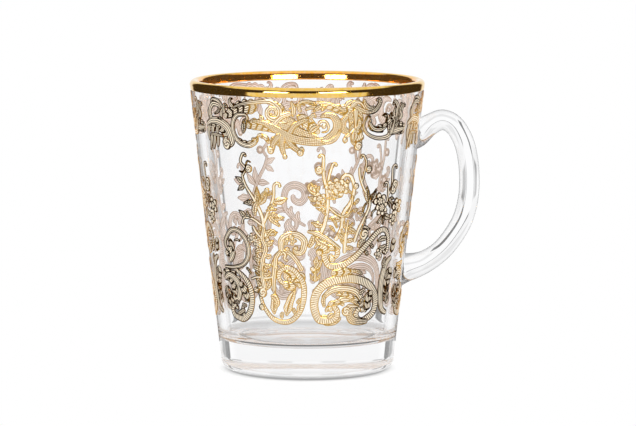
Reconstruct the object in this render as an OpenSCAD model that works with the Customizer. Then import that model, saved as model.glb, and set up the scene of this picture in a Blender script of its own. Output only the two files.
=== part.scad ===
// Glass tea cup with a handle and gilded scroll ornament.
// Millimetres, +Z up. The origin is the centre of the foot, on the axis of the cup.
// The handle lies along +X, and the front of the ornament faces -Y.

/* [Glass body] */
// Height from the table to the top of the lip
cup_h = 99; // [90:1:110]
// Outside diameter at the lip
rim_d = 80; // [74:1:88]
// Outside diameter at the foot, just above the heel
foot_d = 59.4; // [54:0.2:66]
// Thickness of the wall, which the round lip follows
wall_t = 2.9; // [2.2:0.1:3.4]
// Thickness of the glass at the middle of the base, from the table up
floor_t = 10.3; // [8:0.1:12]
// Radius of the heel, between the wall and the foot
heel_r = 2.8; // [1.5:0.1:4]
// Radius inside, between the wall and the floor
floor_round_r = 5; // [3:0.5:7]
// Height of the shallow hollow under the base
punt_h = 1.4; // [0.6:0.1:2.4]
// Width of the ring that the cup stands on
foot_ring_w = 4.5; // [3:0.5:7]

/* [Handle] */
// Distance from the axis to the outermost face of the handle
handle_reach = 58.7; // [54:0.1:64]
// Thickness of the handle, seen from the side
handle_t = 6.4; // [5:0.1:7.4]
// Width of the handle, across the view from the side
handle_w = 11; // [9:0.5:13]
// Drop from the lip to the middle of the upper root
upper_root_drop = 17.6; // [16:0.1:20]
// Height of the middle of the lower root above the table
lower_root_z = 35.6; // [33:0.1:38]
// Height of the flared upper root on the wall
upper_root_h = 10; // [8:0.1:11]
// Height of the flared lower root on the wall
lower_root_h = 12; // [9:0.1:13]
// Width of both flared roots on the wall
root_w = 14; // [13:0.5:16]

/* [Gilding] */
// Thickness of the gold film
film_t = 0.15; // [0.1:0.01:0.25]
// Clearance between the film and the glass
film_gap = 0.02; // [0.01:0.01:0.04]
// Depth of the gold band outside the lip
band_out_h = 3.1; // [2:0.1:4]
// Depth of the gold band inside the lip
band_in_h = 3; // [2:0.1:4]
// Bare glass between the gold band and the frieze
frieze_drop = 0.7; // [0.5:0.1:2]
// Height of the frieze
frieze_h = 19.6; // [17:0.1:21]
// Height of the lowest point of the large scrolls above the table
scrolls_z = 18.4; // [17:0.1:21]
// Height of the large scrolls
scrolls_h = 33; // [30:0.5:34]
// Bare glass that the gilding leaves round the handle's roots
root_margin = 1.4; // [1:0.1:2.5]

/* [Hidden] */

round_fn = 128;
clear_fn = 24;
arc_steps = 6;
// One named overrun for every cut and for every blank that a cut trims
overrun = 1;
glass_colour = [0.86, 0.9, 0.92, 0.5];
gold_colour = [0.83, 0.66, 0.22];

// The same transfer is laid three times round the wall, first on the side that faces -Y
repeats = 3;
repeat_angle = 360 / repeats;
front_angle = -90;
// Each transfer is drawn on three flat faces, side by side, and wrapped onto the wall
face_angles = [-40, 0, 40];
face_reach = 45;

// Section of the body: the outer wall line touches the lip arc and the heel arc
lip_r = wall_t / 2;
lip_c = [rim_d / 2 - lip_r, cup_h - lip_r];
heel_c = [foot_d / 2 - heel_r, heel_r];
axis_run = lip_c - heel_c;
lean = atan2(axis_run[0], axis_run[1]) - asin((heel_r - lip_r) / norm(axis_run));
out_n = [cos(lean), -sin(lean)];
wall_p = lip_c + lip_r * out_n;
function wall_r(z) = wall_p[0] + (z - wall_p[1]) * tan(lean);
function inner_r(z) = wall_r(z) - wall_t / cos(lean);

// The arc inside touches the inner wall line and the floor
round_c_z = floor_t + floor_round_r;
round_c = [inner_r(round_c_z) - floor_round_r / cos(lean), round_c_z];
foot_in_r = heel_c[0] - foot_ring_w;
punt_arc_r = (foot_in_r * foot_in_r + punt_h * punt_h) / (2 * punt_h);
punt_half = asin(foot_in_r / punt_arc_r);

function arc(c, r, a, b, steps) = [for (i = [0 : steps]) c + r * [cos(a + (b - a) * i / steps),
                                                                  sin(a + (b - a) * i / steps)]];

// Centre line of the handle, from the upper root to the lower one.
// First the share of the way from the wall out to the reach, then the share of the way up
// from the lower root to the upper one.
handle_path_shares = [
    [-0.12, 0.99], [0, 1], [0.21, 1.045], [0.45, 1.074], [0.68, 1.025], [0.86, 0.915],
    [0.955, 0.79], [1, 0.645], [0.985, 0.49], [0.9, 0.335], [0.735, 0.2], [0.525, 0.09],
    [0.28, 0.02], [0, -0.005], [-0.12, -0.01]];
// Share of the handle's run over which each root flares out
upper_flare_share = 0.2;
lower_flare_share = 0.24;
handle_sides = 16;
handle_steps = 4;
// How square the section of the handle is, where 1 is an ellipse
section_power = 0.8;

upper_root_z = cup_h - upper_root_drop;
root_span = upper_root_z - lower_root_z;
reach_c = handle_reach - handle_t / 2;
function path_point(s) = let (z = lower_root_z + s[1] * root_span)
    [wall_r(z) + s[0] * (reach_c - wall_r(z)), z];
handle_knots = [for (s = handle_path_shares) path_point(s)];

// Smooth curve through four knots, at share t between the two in the middle
function smooth(a, b, c, d, t) =
    (2 * b + (c - a) * t + (2 * a - 5 * b + 4 * c - d) * t * t
     + (3 * b - a - 3 * c + d) * t * t * t) / 2;
function knot(i) = handle_knots[min(max(i, 0), len(handle_knots) - 1)];
handle_line = [for (i = [0 : len(handle_knots) - 2], j = [0 : handle_steps - 1])
                   smooth(knot(i - 1), knot(i), knot(i + 1), knot(i + 2), j / handle_steps),
               knot(len(handle_knots) - 1)];
handle_last = len(handle_line) - 1;

function flare(u) = u < upper_flare_share ? [pow(1 - u / upper_flare_share, 2), 0]
                  : u > 1 - lower_flare_share ? [0, pow(1 - (1 - u) / lower_flare_share, 2)]
                  : [0, 0];
function handle_height(u) = handle_t + flare(u) * [upper_root_h - handle_t, lower_root_h - handle_t];
function handle_width(u) = handle_w + (flare(u)[0] + flare(u)[1]) * (root_w - handle_w);
function soft(v) = sign(v) * pow(abs(v), section_power);
function handle_ring(i) =
    let (ahead = handle_line[min(i + 1, handle_last)] - handle_line[max(i - 1, 0)],
         d = ahead / norm(ahead), u = i / handle_last)
    [for (k = [0 : handle_sides - 1])
        let (a = 360 * k / handle_sides,
             across = soft(cos(a)) * handle_width(u) / 2,
             up = soft(sin(a)) * handle_height(u) / 2,
             p = handle_line[i] + up * [-d[1], d[0]])
        [p[0], across, p[1]]];

// Heights of the three rows of ornament
frieze_z = cup_h - band_out_h - frieze_drop - frieze_h;
// The vines start between the tops of the large scrolls and end between the frieze's pendants
vine_foot_share = 0.84;
vine_lap_share = 0.13;
vines_z = scrolls_z + vine_foot_share * scrolls_h;
vines_h = frieze_z + vine_lap_share * frieze_h - vines_z;

// Curves of the ornament are drawn on a flat sheet, x along the wall and y up, and then wrapped.
// A knot is [angle from the middle of the transfer, share of the row's height].
knot_steps = 3;
curl_turn = 32;
// A curl winds inwards until its radius is this share of the radius that it starts with
curl_end_share = 0.3;
function knot_at(line, i) = line[min(max(i, 0), len(line) - 1)];
function smooth_line(line) = concat(
    [for (i = [0 : len(line) - 2], j = [0 : knot_steps - 1])
        smooth(knot_at(line, i - 1), line[i], line[i + 1], knot_at(line, i + 2), j / knot_steps)],
    [line[len(line) - 1]]);
// Points of a curl that carries on from p with direction a, through the angle sweep
function curl(p, a, r, sweep) =
    let (n = ceil(abs(sweep) / curl_turn), turn = sweep / max(n, 1))
    [for (i = 1, q = p, h = a + turn / 2; i <= n;
          q = q + 2 * r * (1 - (1 - curl_end_share) * i / n) * sin(abs(turn) / 2) * [cos(h), sin(h)],
          h = h + turn, i = i + 1)
        q + 2 * r * (1 - (1 - curl_end_share) * i / n) * sin(abs(turn) / 2) * [cos(h), sin(h)]];
function course(a, b) = atan2(b[1] - a[1], b[0] - a[0]);
function reversed(line) = [for (i = [len(line) - 1 : -1 : 0]) line[i]];
function with_curls(line, first, last, h) =
    let (n = len(line) - 1)
    concat(reversed(curl(line[0], course(line[1], line[0]), first[0] * h, first[1])), line,
           curl(line[n], course(line[n - 1], line[n]), last[0] * h, last[1]));
// Width of a stroke at share t, from its widths at the start, the middle and the end
function stroke_w(t, w) = w[0] * (1 - t) * (1 - 2 * t) + 4 * w[1] * t * (1 - t) + w[2] * t * (2 * t - 1);

// A point of the flat sheet, wrapped onto the wall and seen on the face that looks along angle face
function on_face(p, z0, r, face) = [wall_r(z0 + p[1]) * sin(p[0] / r * 180 / PI - face), z0 + p[1]];

// A strip of quads between two edges, each half a width from the line
module strip(line, widths, z0, r, face) {
    last = len(line) - 1;
    edges = [for (i = [0 : last])
        let (run = line[min(i + 1, last)] - line[max(i - 1, 0)],
             side = [-run[1], run[0]] / norm(run) * widths[i] / 2)
        [on_face(line[i] + side, z0, r, face), on_face(line[i] - side, z0, r, face)]];
    for (i = [0 : last - 1])
        polygon([edges[i][0], edges[i + 1][0], edges[i + 1][1], edges[i][1]]);
}

// stroke: widths at the start, middle and end, curl at the start, curl at the end, knots.
// A curl is its radius and the angle that it winds through.
module stroke(row, z0, h, r, face) {
    knots = [for (k = row[3]) [k[0] * r * PI / 180, k[1] * h]];
    line = with_curls(smooth_line(knots), row[1], row[2], h);
    n = len(line) - 1;
    strip(line, [for (i = [0 : n]) h * stroke_w(i / n, row[0])], z0, r, face);
}

// A line from foot that starts in direction a and bends evenly
function bent_line(foot, a, size, bend, n) =
    [for (i = 0, p = foot; i <= n;
          p = p + size / n * [cos(a + bend * (i + 0.5) / n), sin(a + bend * (i + 0.5) / n)],
              i = i + 1) p];

// A blade is a leaf or one finger of a leaf. Its foot, length and width are real sizes.
blade_neck_share = 0.16;
lobe_depth_share = 0.3;
plain_steps = 6;
lobe_steps = 4;
function blade_w(t, lobes) = blade_neck_share + (1 - blade_neck_share) * sin(180 * pow(t, 0.8))
    * (1 - lobe_depth_share * abs(cos(180 * lobes * t)));
module blade(foot, a, size, w, bend, lobes, z0, r, face) {
    n = lobes == 1 ? plain_steps : lobe_steps * lobes;
    widths = [for (i = [0 : n]) w * (i == n ? blade_neck_share : blade_w(i / n, lobes))];
    strip(bent_line(foot, a, size, bend, n), widths, z0, r, face);
}

// leaf: place of its foot, direction, length, width, bend, lobes on each side
module leaf(row, z0, h, r, face) {
    foot = [row[0][0] * r * PI / 180, row[0][1] * h];
    blade(foot, row[1], row[2] * h, row[3] * h, row[4], row[5], z0, r, face);
}

// frond: place of its foot, direction, length, width, bend, pairs of fingers
finger_lean = 48;
finger_bend = 35;
finger_width_share = 0.36;
finger_loss_share = 0.3;
rib_foot_share = 0.58;
rib_tip_share = 0.22;
tip_share = 0.42;
module frond(row, z0, h, r, face) {
    pairs = row[5];
    size = row[2] * h;
    span = row[3] * h / 2;
    foot = [row[0][0] * r * PI / 180, row[0][1] * h];
    rib = bent_line(foot, row[1], size * (1 - tip_share), row[4], pairs);
    strip(rib, [for (i = [0 : pairs]) span * (rib_foot_share + (rib_tip_share - rib_foot_share) * i / pairs)],
          z0, r, face);
    for (i = [0 : pairs - 1], side = [-1, 1]) {
        a = course(rib[i], rib[i + 1]);
        reach = span / sin(finger_lean) * (1 - finger_loss_share * i / pairs);
        blade(rib[i], a + side * finger_lean, reach, reach * finger_width_share, -side * finger_bend, 1,
              z0, r, face);
    }
    blade(rib[pairs], course(rib[pairs - 1], rib[pairs]), size * tip_share,
          span * 2 * finger_width_share,
          row[4], 1, z0, r, face);
}

// blossom: place of its middle, radius, petals, or no petals for a bud
petal_depth_share = 0.4;
petal_steps = 5;
bud_sides = 12;
function petal_r(t, petals) = petals == 0 ? 1 : 1 - petal_depth_share * (1 - abs(sin(180 * petals * t)));
module blossom(row, z0, h, r, face) {
    n = row[2] == 0 ? bud_sides : petal_steps * row[2];
    middle = [row[0][0] * r * PI / 180, row[0][1] * h];
    polygon([for (i = [0 : n - 1])
        on_face(middle + row[1] * h * petal_r(i / n, row[2]) * [cos(360 * i / n), sin(360 * i / n)],
                z0, r, face)]);
}

none = [0, 0];

// Frieze below the lip, one table for each of the three faces
frieze_stroke_shares = [
    [[[0.08, 0.17, 0.1], none, [0.11, -230], [[-60, 0.5], [-55, 0.58], [-49, 0.58], [-43.5, 0.49],
                                              [-41.2, 0.34]]],
     [[0.1, 0.09, 0.06], none, none, [[-57.5, 0.5], [-59, 0.36], [-58, 0.22]]],
     [[0.1, 0.09, 0.06], none, none, [[-54, 0.5], [-55, 0.38], [-54, 0.25]]],
     [[0.1, 0.08, 0.05], none, none, [[-50.5, 0.5], [-51, 0.38], [-50, 0.28]]],
     [[0.09, 0.09, 0.05], none, [0.06, -210], [[-54.5, 0.6], [-56, 0.74], [-53, 0.87], [-49, 0.87]]],
     [[0.08, 0.08, 0.05], none, [0.04, -160], [[-47.5, 0.6], [-46.5, 0.74], [-44, 0.86]]],
     [[0.04, 0.1, 0.05], [0.08, -190], [0.06, 200],
      [[-32.5, 0.73], [-36.5, 0.71], [-39.3, 0.58], [-39.2, 0.4], [-36, 0.25], [-31, 0.2],
       [-27.5, 0.24]]]],
    [[[0.06, 0.12, 0.05], none, [0.16, -400], [[-39, 0.81], [-34, 0.88], [-26, 0.92], [-19, 0.93],
                                               [-15, 0.87]]],
     [[0.04, 0.16, 0.05], none, [0.17, 420],
      [[-28, 0.62], [-22, 0.6], [-15, 0.49], [-8, 0.36], [0, 0.3], [8, 0.34], [13.2, 0.48],
       [13, 0.66]]],
     [[0.12, 0.09, 0.04], none, [0.05, -150], [[-17, 0.56], [-13, 0.7], [-8, 0.77]]],
     [[0.12, 0.09, 0.04], none, [0.05, -150], [[-9, 0.42], [-6, 0.57], [-1, 0.66]]],
     [[0.03, 0.06, 0.03], none, [0.05, -200], [[-9, 0.84], [-4, 0.93], [3, 0.96], [11, 0.93],
                                               [17, 0.84]]],
     [[0.06, 0.07, 0.03], none, [0.04, -200], [[-1, 0.84], [3, 0.88], [7, 0.88]]],
     [[0.13, 0.09, 0.06], none, [0.05, -210], [[-13, 0.42], [-16.5, 0.28], [-17.5, 0.17]]],
     [[0.13, 0.11, 0.07], none, none, [[-12, 0.42], [-12.5, 0.2], [-11.3, 0.05]]],
     [[0.13, 0.09, 0.06], none, [0.05, 210], [[-10.5, 0.4], [-8, 0.24], [-4, 0.13]]]],
    [[[0.06, 0.1, 0.05], none, [0.07, 190], [[20.5, 0.94], [25, 0.86], [30, 0.78], [35, 0.8],
                                             [37.5, 0.9]]],
     [[0.03, 0.06, 0.1], [0.05, -170], none,
      [[30.5, 0.68], [29, 0.54], [31.5, 0.4], [37, 0.32], [43, 0.32], [47, 0.38]]],
     [[0.05, 0.08, 0.05], [0.04, -120], [0.05, 170], [[32.5, 0.58], [35, 0.48], [39.5, 0.46],
                                                      [43, 0.54], [43.5, 0.66]]],
     [[0.08, 0.14, 0.08], none, none, [[44, 0.36], [50, 0.42], [57, 0.44]]],
     [[0.1, 0.08, 0.05], none, [0.06, 170], [[51, 0.7], [50.5, 0.82], [49, 0.9]]],
     [[0.1, 0.07, 0.05], none, [0.04, -160], [[52, 0.66], [53.5, 0.78], [54.5, 0.84]]],
     [[0.07, 0.07, 0.05], none, none, [[22, 0.42], [19.5, 0.36], [19, 0.25]]]]];
frieze_leaf_shares = [
    [[[-33.5, 0.4], 70, 0.26, 0.12, 30, 1]],
    [[[1, 0.42], 60, 0.26, 0.12, -50, 1], [[-22, 0.6], 100, 0.16, 0.1, 20, 1]],
    []];
frieze_frond_shares = [
    [],
    [],
    [[[24, 0.84], -83, 0.6, 0.4, -10, 3], [[46, 0.36], 60, 0.5, 0.44, 25, 3]]];
frieze_blossom_shares = [
    [[[-45.5, 0.23], 0.07, 0]],
    [],
    [[[26.5, 0.2], 0.08, 0]]];

// Vines on the middle of the wall
vine_stroke_shares = [
    [[[0.05, 0.045, 0.03], none, none, [[-21.5, 0.02], [-24, 0.14], [-25, 0.3], [-29, 0.47],
                                        [-34, 0.62], [-36, 0.74]]],
     [[0.03, 0.035, 0.03], none, [0.03, -190], [[-35.5, 0.72], [-33.5, 0.8], [-36.2, 0.87],
                                                [-35, 0.94]]],
     [[0.045, 0.035, 0.03], none, [0.05, -200], [[-24.5, 0.22], [-21, 0.36], [-18, 0.5],
                                                 [-17.5, 0.62]]],
     [[0.04, 0.035, 0.03], none, none, [[-25, 0.2], [-31, 0.27], [-36.5, 0.27], [-38, 0.2]]]],
    [[[0.05, 0.04, 0.03], none, [0.035, 190], [[5, 0.06], [9, 0.2], [11, 0.4], [10.5, 0.58],
                                               [8.6, 0.74], [8.4, 0.93]]],
     [[0.035, 0.035, 0.03], none, [0.03, -190], [[10.6, 0.6], [11.5, 0.74], [13, 0.85]]],
     [[0.035, 0.035, 0.03], none, [0.045, -230], [[9.5, 0.52], [5.5, 0.52], [2.5, 0.58]]],
     [[0.05, 0.045, 0.035], none, [0.07, 330],
      [[15.5, 0.05], [19, 0.18], [20, 0.34], [24, 0.46], [25.5, 0.6], [24, 0.7]]],
     [[0.035, 0.03, 0.03], none, none, [[11, 0.42], [15.5, 0.34], [19.5, 0.3]]]],
    [[[0.045, 0.04, 0.03], none, none, [[27, 0.02], [29.5, 0.16], [34, 0.32], [35.5, 0.44], [31, 0.6],
                                        [28.5, 0.72], [28, 0.82]]],
     [[0.03, 0.03, 0.03], none, [0.03, 190], [[30, 0.66], [31, 0.76], [32, 0.86], [30.5, 0.93]]],
     [[0.04, 0.035, 0.03], none, [0.045, 200], [[43, 0.2], [46, 0.33], [48.5, 0.48], [48, 0.6]]],
     [[0.04, 0.035, 0.03], none, [0.055, -200], [[49, 0.5], [51, 0.6], [50.5, 0.76]]]]];
vine_leaf_shares = [
    [[[-35, 0.64], 140, 0.13, 0.07, 20, 1], [[-34, 0.62], 200, 0.13, 0.07, 20, 1],
     [[-28, 0.44], 75, 0.18, 0.08, 20, 1],
     [[-27, 0.42], 40, 0.18, 0.08, 20, 1], [[-28, 0.44], 175, 0.17, 0.08, 20, 1],
     [[-18.3, 0.46], 5, 0.17, 0.09, 20, 1],
     [[-22, 0.3], -10, 0.2, 0.09, 20, 1], [[-24, 0.14], -10, 0.16, 0.08, 20, 1],
     [[-35, 0.27], 130, 0.13, 0.07, 20, 1]],
    [[[12, 0.56], -30, 0.14, 0.08, 20, 1], [[8.6, 0.2], 150, 0.14, 0.08, 20, 1],
     [[5.5, 0.53], 130, 0.12, 0.07, 20, 1],
     [[19.4, 0.26], 160, 0.16, 0.08, 20, 1], [[19.6, 0.3], 20, 0.12, 0.07, 20, 1]],
    [[[35, 0.42], 110, 0.2, 0.08, -20, 1], [[35.5, 0.42], 55, 0.18, 0.08, 20, 1],
     [[28.5, 0.12], 160, 0.14, 0.07, -20, 1],
     [[30, 0.18], -20, 0.15, 0.08, 20, 1], [[45, 0.3], -30, 0.17, 0.08, 20, 1],
     [[33, 0.3], 150, 0.11, 0.06, 20, 1]]];
vine_frond_shares = [
    [],
    [[[10, 0.38], 135, 0.24, 0.17, 10, 2]],
    [[[49.5, 0.46], -48, 0.28, 0.17, 20, 2]]];
vine_blossom_shares = [
    [[[-31.5, 0.8], 0.045, 0]],
    [[[6.2, 0.8], 0.045, 0], [[16, 0.64], 0.085, 5]],
    [[[33.5, 0.79], 0.04, 0], [[42.5, 0.44], 0.1, 5], [[53.5, 0.6], 0.055, 0], [[57.5, 0.36], 0.1, 5]]];

// Large scrolls above the base
scroll_stroke_shares = [
    [[[0.035, 0.06, 0.04], [0.09, 210], none,
      [[-52, 0.87], [-47, 0.96], [-41, 0.96], [-36, 0.87], [-35, 0.74], [-38.5, 0.63], [-46, 0.58],
       [-56, 0.57]]],
     [[0.05, 0.075, 0.04], none, [0.08, -250],
      [[-46, 0.56], [-39.8, 0.49], [-35.8, 0.4], [-34.6, 0.27], [-36.8, 0.13], [-42, 0.05],
       [-48, 0.06]]],
     [[0.06, 0.08, 0.03], none, [0.06, -230], [[-57, 0.44], [-52, 0.49], [-47, 0.46], [-43.5, 0.38],
                                               [-44.5, 0.28]]],
     [[0.05, 0.06, 0.03], none, none, [[-41, 0.06], [-42.5, 0.14], [-41, 0.2]]]],
    [[[0.03, 0.06, 0.04], none, [0.12, 330],
      [[-29.3, 0.46], [-28.8, 0.32], [-26, 0.18], [-20, 0.07], [-11.5, 0.05], [-5, 0.14], [-2, 0.29],
       [-2.2, 0.45], [-6, 0.56]]],
     [[0.035, 0.05, 0.04], [0.05, 130], none, [[-19, 0.66], [-16, 0.75], [-10.5, 0.77], [-6, 0.69],
                                               [-2.5, 0.58]]],
     [[0.04, 0.07, 0.04], [0.05, 210], [0.06, -230],
      [[-14.5, 0.82], [-14, 0.9], [-10, 0.95], [-5, 0.95], [-1.5, 0.89], [-2, 0.81]]]],
    [[[0.05, 0.095, 0.05], [0.1, 240], [0.1, -260],
      [[13, 0.06], [7, 0.08], [4.2, 0.22], [6, 0.36], [11.5, 0.45], [21, 0.49], [31, 0.47], [40, 0.39],
       [45, 0.26],
       [44, 0.12], [38, 0.05]]],
     [[0.05, 0.07, 0.03], none, [0.05, -210], [[9, 0.29], [14, 0.37], [22, 0.39], [30, 0.35],
                                               [34.5, 0.26]]],
     [[0.05, 0.08, 0.03], none, none, [[16, 0.22], [21, 0.27], [28, 0.27]]],
     [[0.05, 0.07, 0.03], none, none, [[23, 0.1], [26, 0.19], [32, 0.19]]],
     [[0.04, 0.07, 0.04], [0.05, -160], [0.09, -370],
      [[52, 0.76], [52, 0.87], [48.5, 0.96], [43, 0.95], [36, 0.84], [28, 0.71], [20, 0.63],
       [13, 0.63], [10.3, 0.7]]],
     [[0.05, 0.09, 0.05], none, none, [[57, 0.67], [52, 0.6], [49.3, 0.45], [49.2, 0.28], [51.5, 0.14],
                                       [57, 0.08]]]]];
scroll_leaf_shares = [
    [],
    [[[-20, 0.12], 95, 0.25, 0.09, -20, 2], [[-12.5, 0.11], 80, 0.3, 0.11, -20, 2],
     [[-5.5, 0.12], 70, 0.17, 0.07, 20, 1]],
    []];
scroll_frond_shares = [
    [[[-55.5, 0.36], -80, 0.26, 0.17, 20, 2]],
    [[[-25.5, 0.36], 93, 0.42, 0.26, 10, 3]],
    [[[4.8, 0.47], 95, 0.27, 0.16, -10, 2], [[54.5, 0.2], 82, 0.36, 0.16, 20, 2]]];
scroll_blossom_shares = [
    [],
    [[[-28.5, 0.84], 0.05, 5]],
    [[[44.5, 0.72], 0.06, 5]]];

// Where the handle's roots stand on the wall, as [height, half height]
roots = [[upper_root_z, upper_root_h / 2], [lower_root_z, lower_root_h / 2]];

// Extra height of the shell that a transfer is cut from, above and below its row
film_margin = frieze_drop / 2;

// One flat face of a transfer. The small offset out and in joins the strokes into one outline.
join = film_t / 4;
module face_drawing(k, z0, h, tables, handle_at) {
    face = face_angles[k];
    r = wall_r(z0 + h / 2);
    difference() {
        offset(delta = -join) offset(delta = join) {
            for (row = tables[0][k]) stroke(row, z0, h, r, face);
            for (row = tables[1][k]) leaf(row, z0, h, r, face);
            for (row = tables[2][k]) frond(row, z0, h, r, face);
            for (row = tables[3][k]) blossom(row, z0, h, r, face);
        }
        if (abs(handle_at - face) < face_reach)
            for (root = roots)
                translate([wall_r(root[0]) * sin(handle_at - face), root[0]])
                    circle(r = max(root_w / 2, root[1]) + root_margin, $fn = clear_fn);
    }
}

// A thin shell that follows the wall, one face wide
module film_shell(z0, h) {
    low = z0 - film_margin;
    high = z0 + h + film_margin;
    inside = film_gap / cos(lean);
    outside = (film_gap + film_t) / cos(lean);
    rotate([0, 0, -face_reach])
        rotate_extrude(angle = 2 * face_reach, $fn = round_fn)
            polygon([[wall_r(low) + inside, low], [wall_r(low) + outside, low],
                     [wall_r(high) + outside, high], [wall_r(high) + inside, high]]);
}

// One transfer: each face's drawing is pushed out from the axis and cut to the shell
module transfer(index, z0, h, tables) {
    middle = front_angle + index * repeat_angle;
    // The handle's angle, measured from the middle of this transfer
    handle_at = middle > 180 ? 360 - middle : -middle;
    for (k = [0 : len(face_angles) - 1])
        rotate([0, 0, middle + face_angles[k]])
            intersection() {
                film_shell(z0, h);
                rotate([90, 0, 90])
                    translate([0, 0, overrun])
                        linear_extrude(rim_d / 2)
                            face_drawing(k, z0, h, tables, handle_at);
            }
}

module frieze(index)
    transfer(index, frieze_z, frieze_h,
             [frieze_stroke_shares, frieze_leaf_shares, frieze_frond_shares, frieze_blossom_shares]);
module vines(index)
    transfer(index, vines_z, vines_h,
             [vine_stroke_shares, vine_leaf_shares, vine_frond_shares, vine_blossom_shares]);
module scrolls(index)
    transfer(index, scrolls_z, scrolls_h,
             [scroll_stroke_shares, scroll_leaf_shares, scroll_frond_shares, scroll_blossom_shares]);

module glass_body() {
    color(glass_colour)
        rotate_extrude($fn = round_fn)
            polygon(concat(
                arc([0, punt_h - punt_arc_r], punt_arc_r, 90, 90 - punt_half, arc_steps),
                arc(heel_c, heel_r, -90, -lean, arc_steps),
                arc(lip_c, lip_r, -lean, 180 - lean, 2 * arc_steps),
                arc(round_c, floor_round_r, -lean, -90, arc_steps),
                [[0, floor_t]]));
}

// The outer shape of the body alone, which trims the handle's roots to the wall
module body_outside() {
    rotate_extrude($fn = round_fn)
        polygon([[0, 0], [wall_r(0), 0], [wall_r(cup_h), cup_h], [0, cup_h]]);
}

module handle() {
    rings = [for (i = [0 : handle_last]) handle_ring(i)];
    sides = handle_sides;
    points = concat([for (ring = rings) for (p = ring) p],
                    [[handle_line[0][0], 0, handle_line[0][1]],
                     [handle_line[handle_last][0], 0, handle_line[handle_last][1]]]);
    first_c = len(points) - 2;
    last_c = len(points) - 1;
    faces = concat(
        [for (i = [0 : handle_last - 1], k = [0 : sides - 1])
            [i * sides + k, (i + 1) * sides + k, (i + 1) * sides + (k + 1) % sides]],
        [for (i = [0 : handle_last - 1], k = [0 : sides - 1])
            [i * sides + k, (i + 1) * sides + (k + 1) % sides, i * sides + (k + 1) % sides]],
        [for (k = [0 : sides - 1]) [first_c, k, (k + 1) % sides]],
        [for (k = [0 : sides - 1])
            [last_c, handle_last * sides + (k + 1) % sides, handle_last * sides + k]]);
    color(glass_colour)
        difference() {
            polyhedron(points, faces);
            body_outside();
        }
}

module rim_gilding() {
    near = lip_r + film_gap;
    far = near + film_t;
    low_out = cup_h - band_out_h;
    low_in = cup_h - band_in_h;
    gap_x = film_gap / cos(lean);
    film_x = (film_gap + film_t) / cos(lean);
    color(gold_colour)
        rotate_extrude($fn = round_fn)
            polygon(concat(
                [[wall_r(low_out) + gap_x, low_out], [wall_r(low_out) + film_x, low_out]],
                arc(lip_c, far, -lean, 180 - lean, 2 * arc_steps),
                [[inner_r(low_in) - film_x, low_in], [inner_r(low_in) - gap_x, low_in]],
                arc(lip_c, near, 180 - lean, -lean, 2 * arc_steps)));
}

module frieze_front() color(gold_colour) frieze(0);
module frieze_right() color(gold_colour) frieze(1);
module frieze_left() color(gold_colour) frieze(2);
module vines_front() color(gold_colour) vines(0);
module vines_right() color(gold_colour) vines(1);
module vines_left() color(gold_colour) vines(2);
module scrolls_front() color(gold_colour) scrolls(0);
module scrolls_right() color(gold_colour) scrolls(1);
module scrolls_left() color(gold_colour) scrolls(2);

glass_body();
handle();
rim_gilding();
frieze_front();
frieze_right();
frieze_left();
vines_front();
vines_right();
vines_left();
scrolls_front();
scrolls_right();
scrolls_left();
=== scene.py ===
"""Looks of the gilded glass tea cup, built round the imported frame."""

import math

import bpy
import numpy as np
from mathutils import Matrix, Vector
from mathutils.bvhtree import BVHTree
from mathutils.interpolate import poly_3d_calc


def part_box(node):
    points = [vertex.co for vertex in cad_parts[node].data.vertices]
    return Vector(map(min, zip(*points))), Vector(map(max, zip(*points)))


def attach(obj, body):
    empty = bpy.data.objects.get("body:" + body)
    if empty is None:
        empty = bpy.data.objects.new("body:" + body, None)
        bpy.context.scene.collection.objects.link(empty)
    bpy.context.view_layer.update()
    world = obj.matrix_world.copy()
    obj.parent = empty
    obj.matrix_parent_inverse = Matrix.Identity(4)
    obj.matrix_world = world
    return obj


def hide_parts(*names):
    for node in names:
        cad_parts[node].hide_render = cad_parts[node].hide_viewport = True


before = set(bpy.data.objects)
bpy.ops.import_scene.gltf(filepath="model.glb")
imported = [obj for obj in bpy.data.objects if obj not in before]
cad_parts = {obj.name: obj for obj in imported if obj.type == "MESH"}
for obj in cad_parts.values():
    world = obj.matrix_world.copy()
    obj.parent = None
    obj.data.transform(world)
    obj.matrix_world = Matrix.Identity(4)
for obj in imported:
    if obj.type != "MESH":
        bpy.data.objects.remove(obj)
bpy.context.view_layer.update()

# Lengths below are millimetres until a mesh is made.
MM = 0.001

# Sizes of the glass, as the part has them
CUP_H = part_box("glass_body")[1].z / MM
RIM_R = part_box("glass_body")[1].x / MM
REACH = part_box("handle")[1].x / MM
FOOT_R = 29.7
WALL_T = 2.9
FLOOR_T = 10.3
HEEL_R = 2.8
FLOOR_ROUND_R = 5.0
PUNT_H = 1.4
FOOT_RING_W = 4.5
HANDLE_T = 6.9
HANDLE_W = 11.0
UPPER_ROOT_DROP = 17.6
UPPER_ROOT_Z = CUP_H - UPPER_ROOT_DROP
LOWER_ROOT_Z = 35.6
UPPER_ROOT_H = 13.4
LOWER_ROOT_H = 14.4
ROOT_W = 14.0
FILM_GAP = 0.02
FILM_T = 0.15
BAND_OUT_H = 3.1
BAND_IN_H = 3.0
FRIEZE_DROP = 0.7
FRIEZE_H = 19.6
SCROLLS_Z = 18.4
SCROLLS_H = 33.0
ROOT_MARGIN = 1.4

LIP_R = WALL_T / 2
LIP_C = np.array([RIM_R - LIP_R, CUP_H - LIP_R])
HEEL_C = np.array([FOOT_R - HEEL_R, HEEL_R])
HEEL_TO_LIP = LIP_C - HEEL_C
LEAN = math.atan2(*HEEL_TO_LIP) - math.asin((HEEL_R - LIP_R) / np.linalg.norm(HEEL_TO_LIP))
LEAN_DEG = math.degrees(LEAN)
OUT_N = np.array([math.cos(LEAN), -math.sin(LEAN)])
WALL_P = LIP_C + LIP_R * OUT_N


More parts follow.
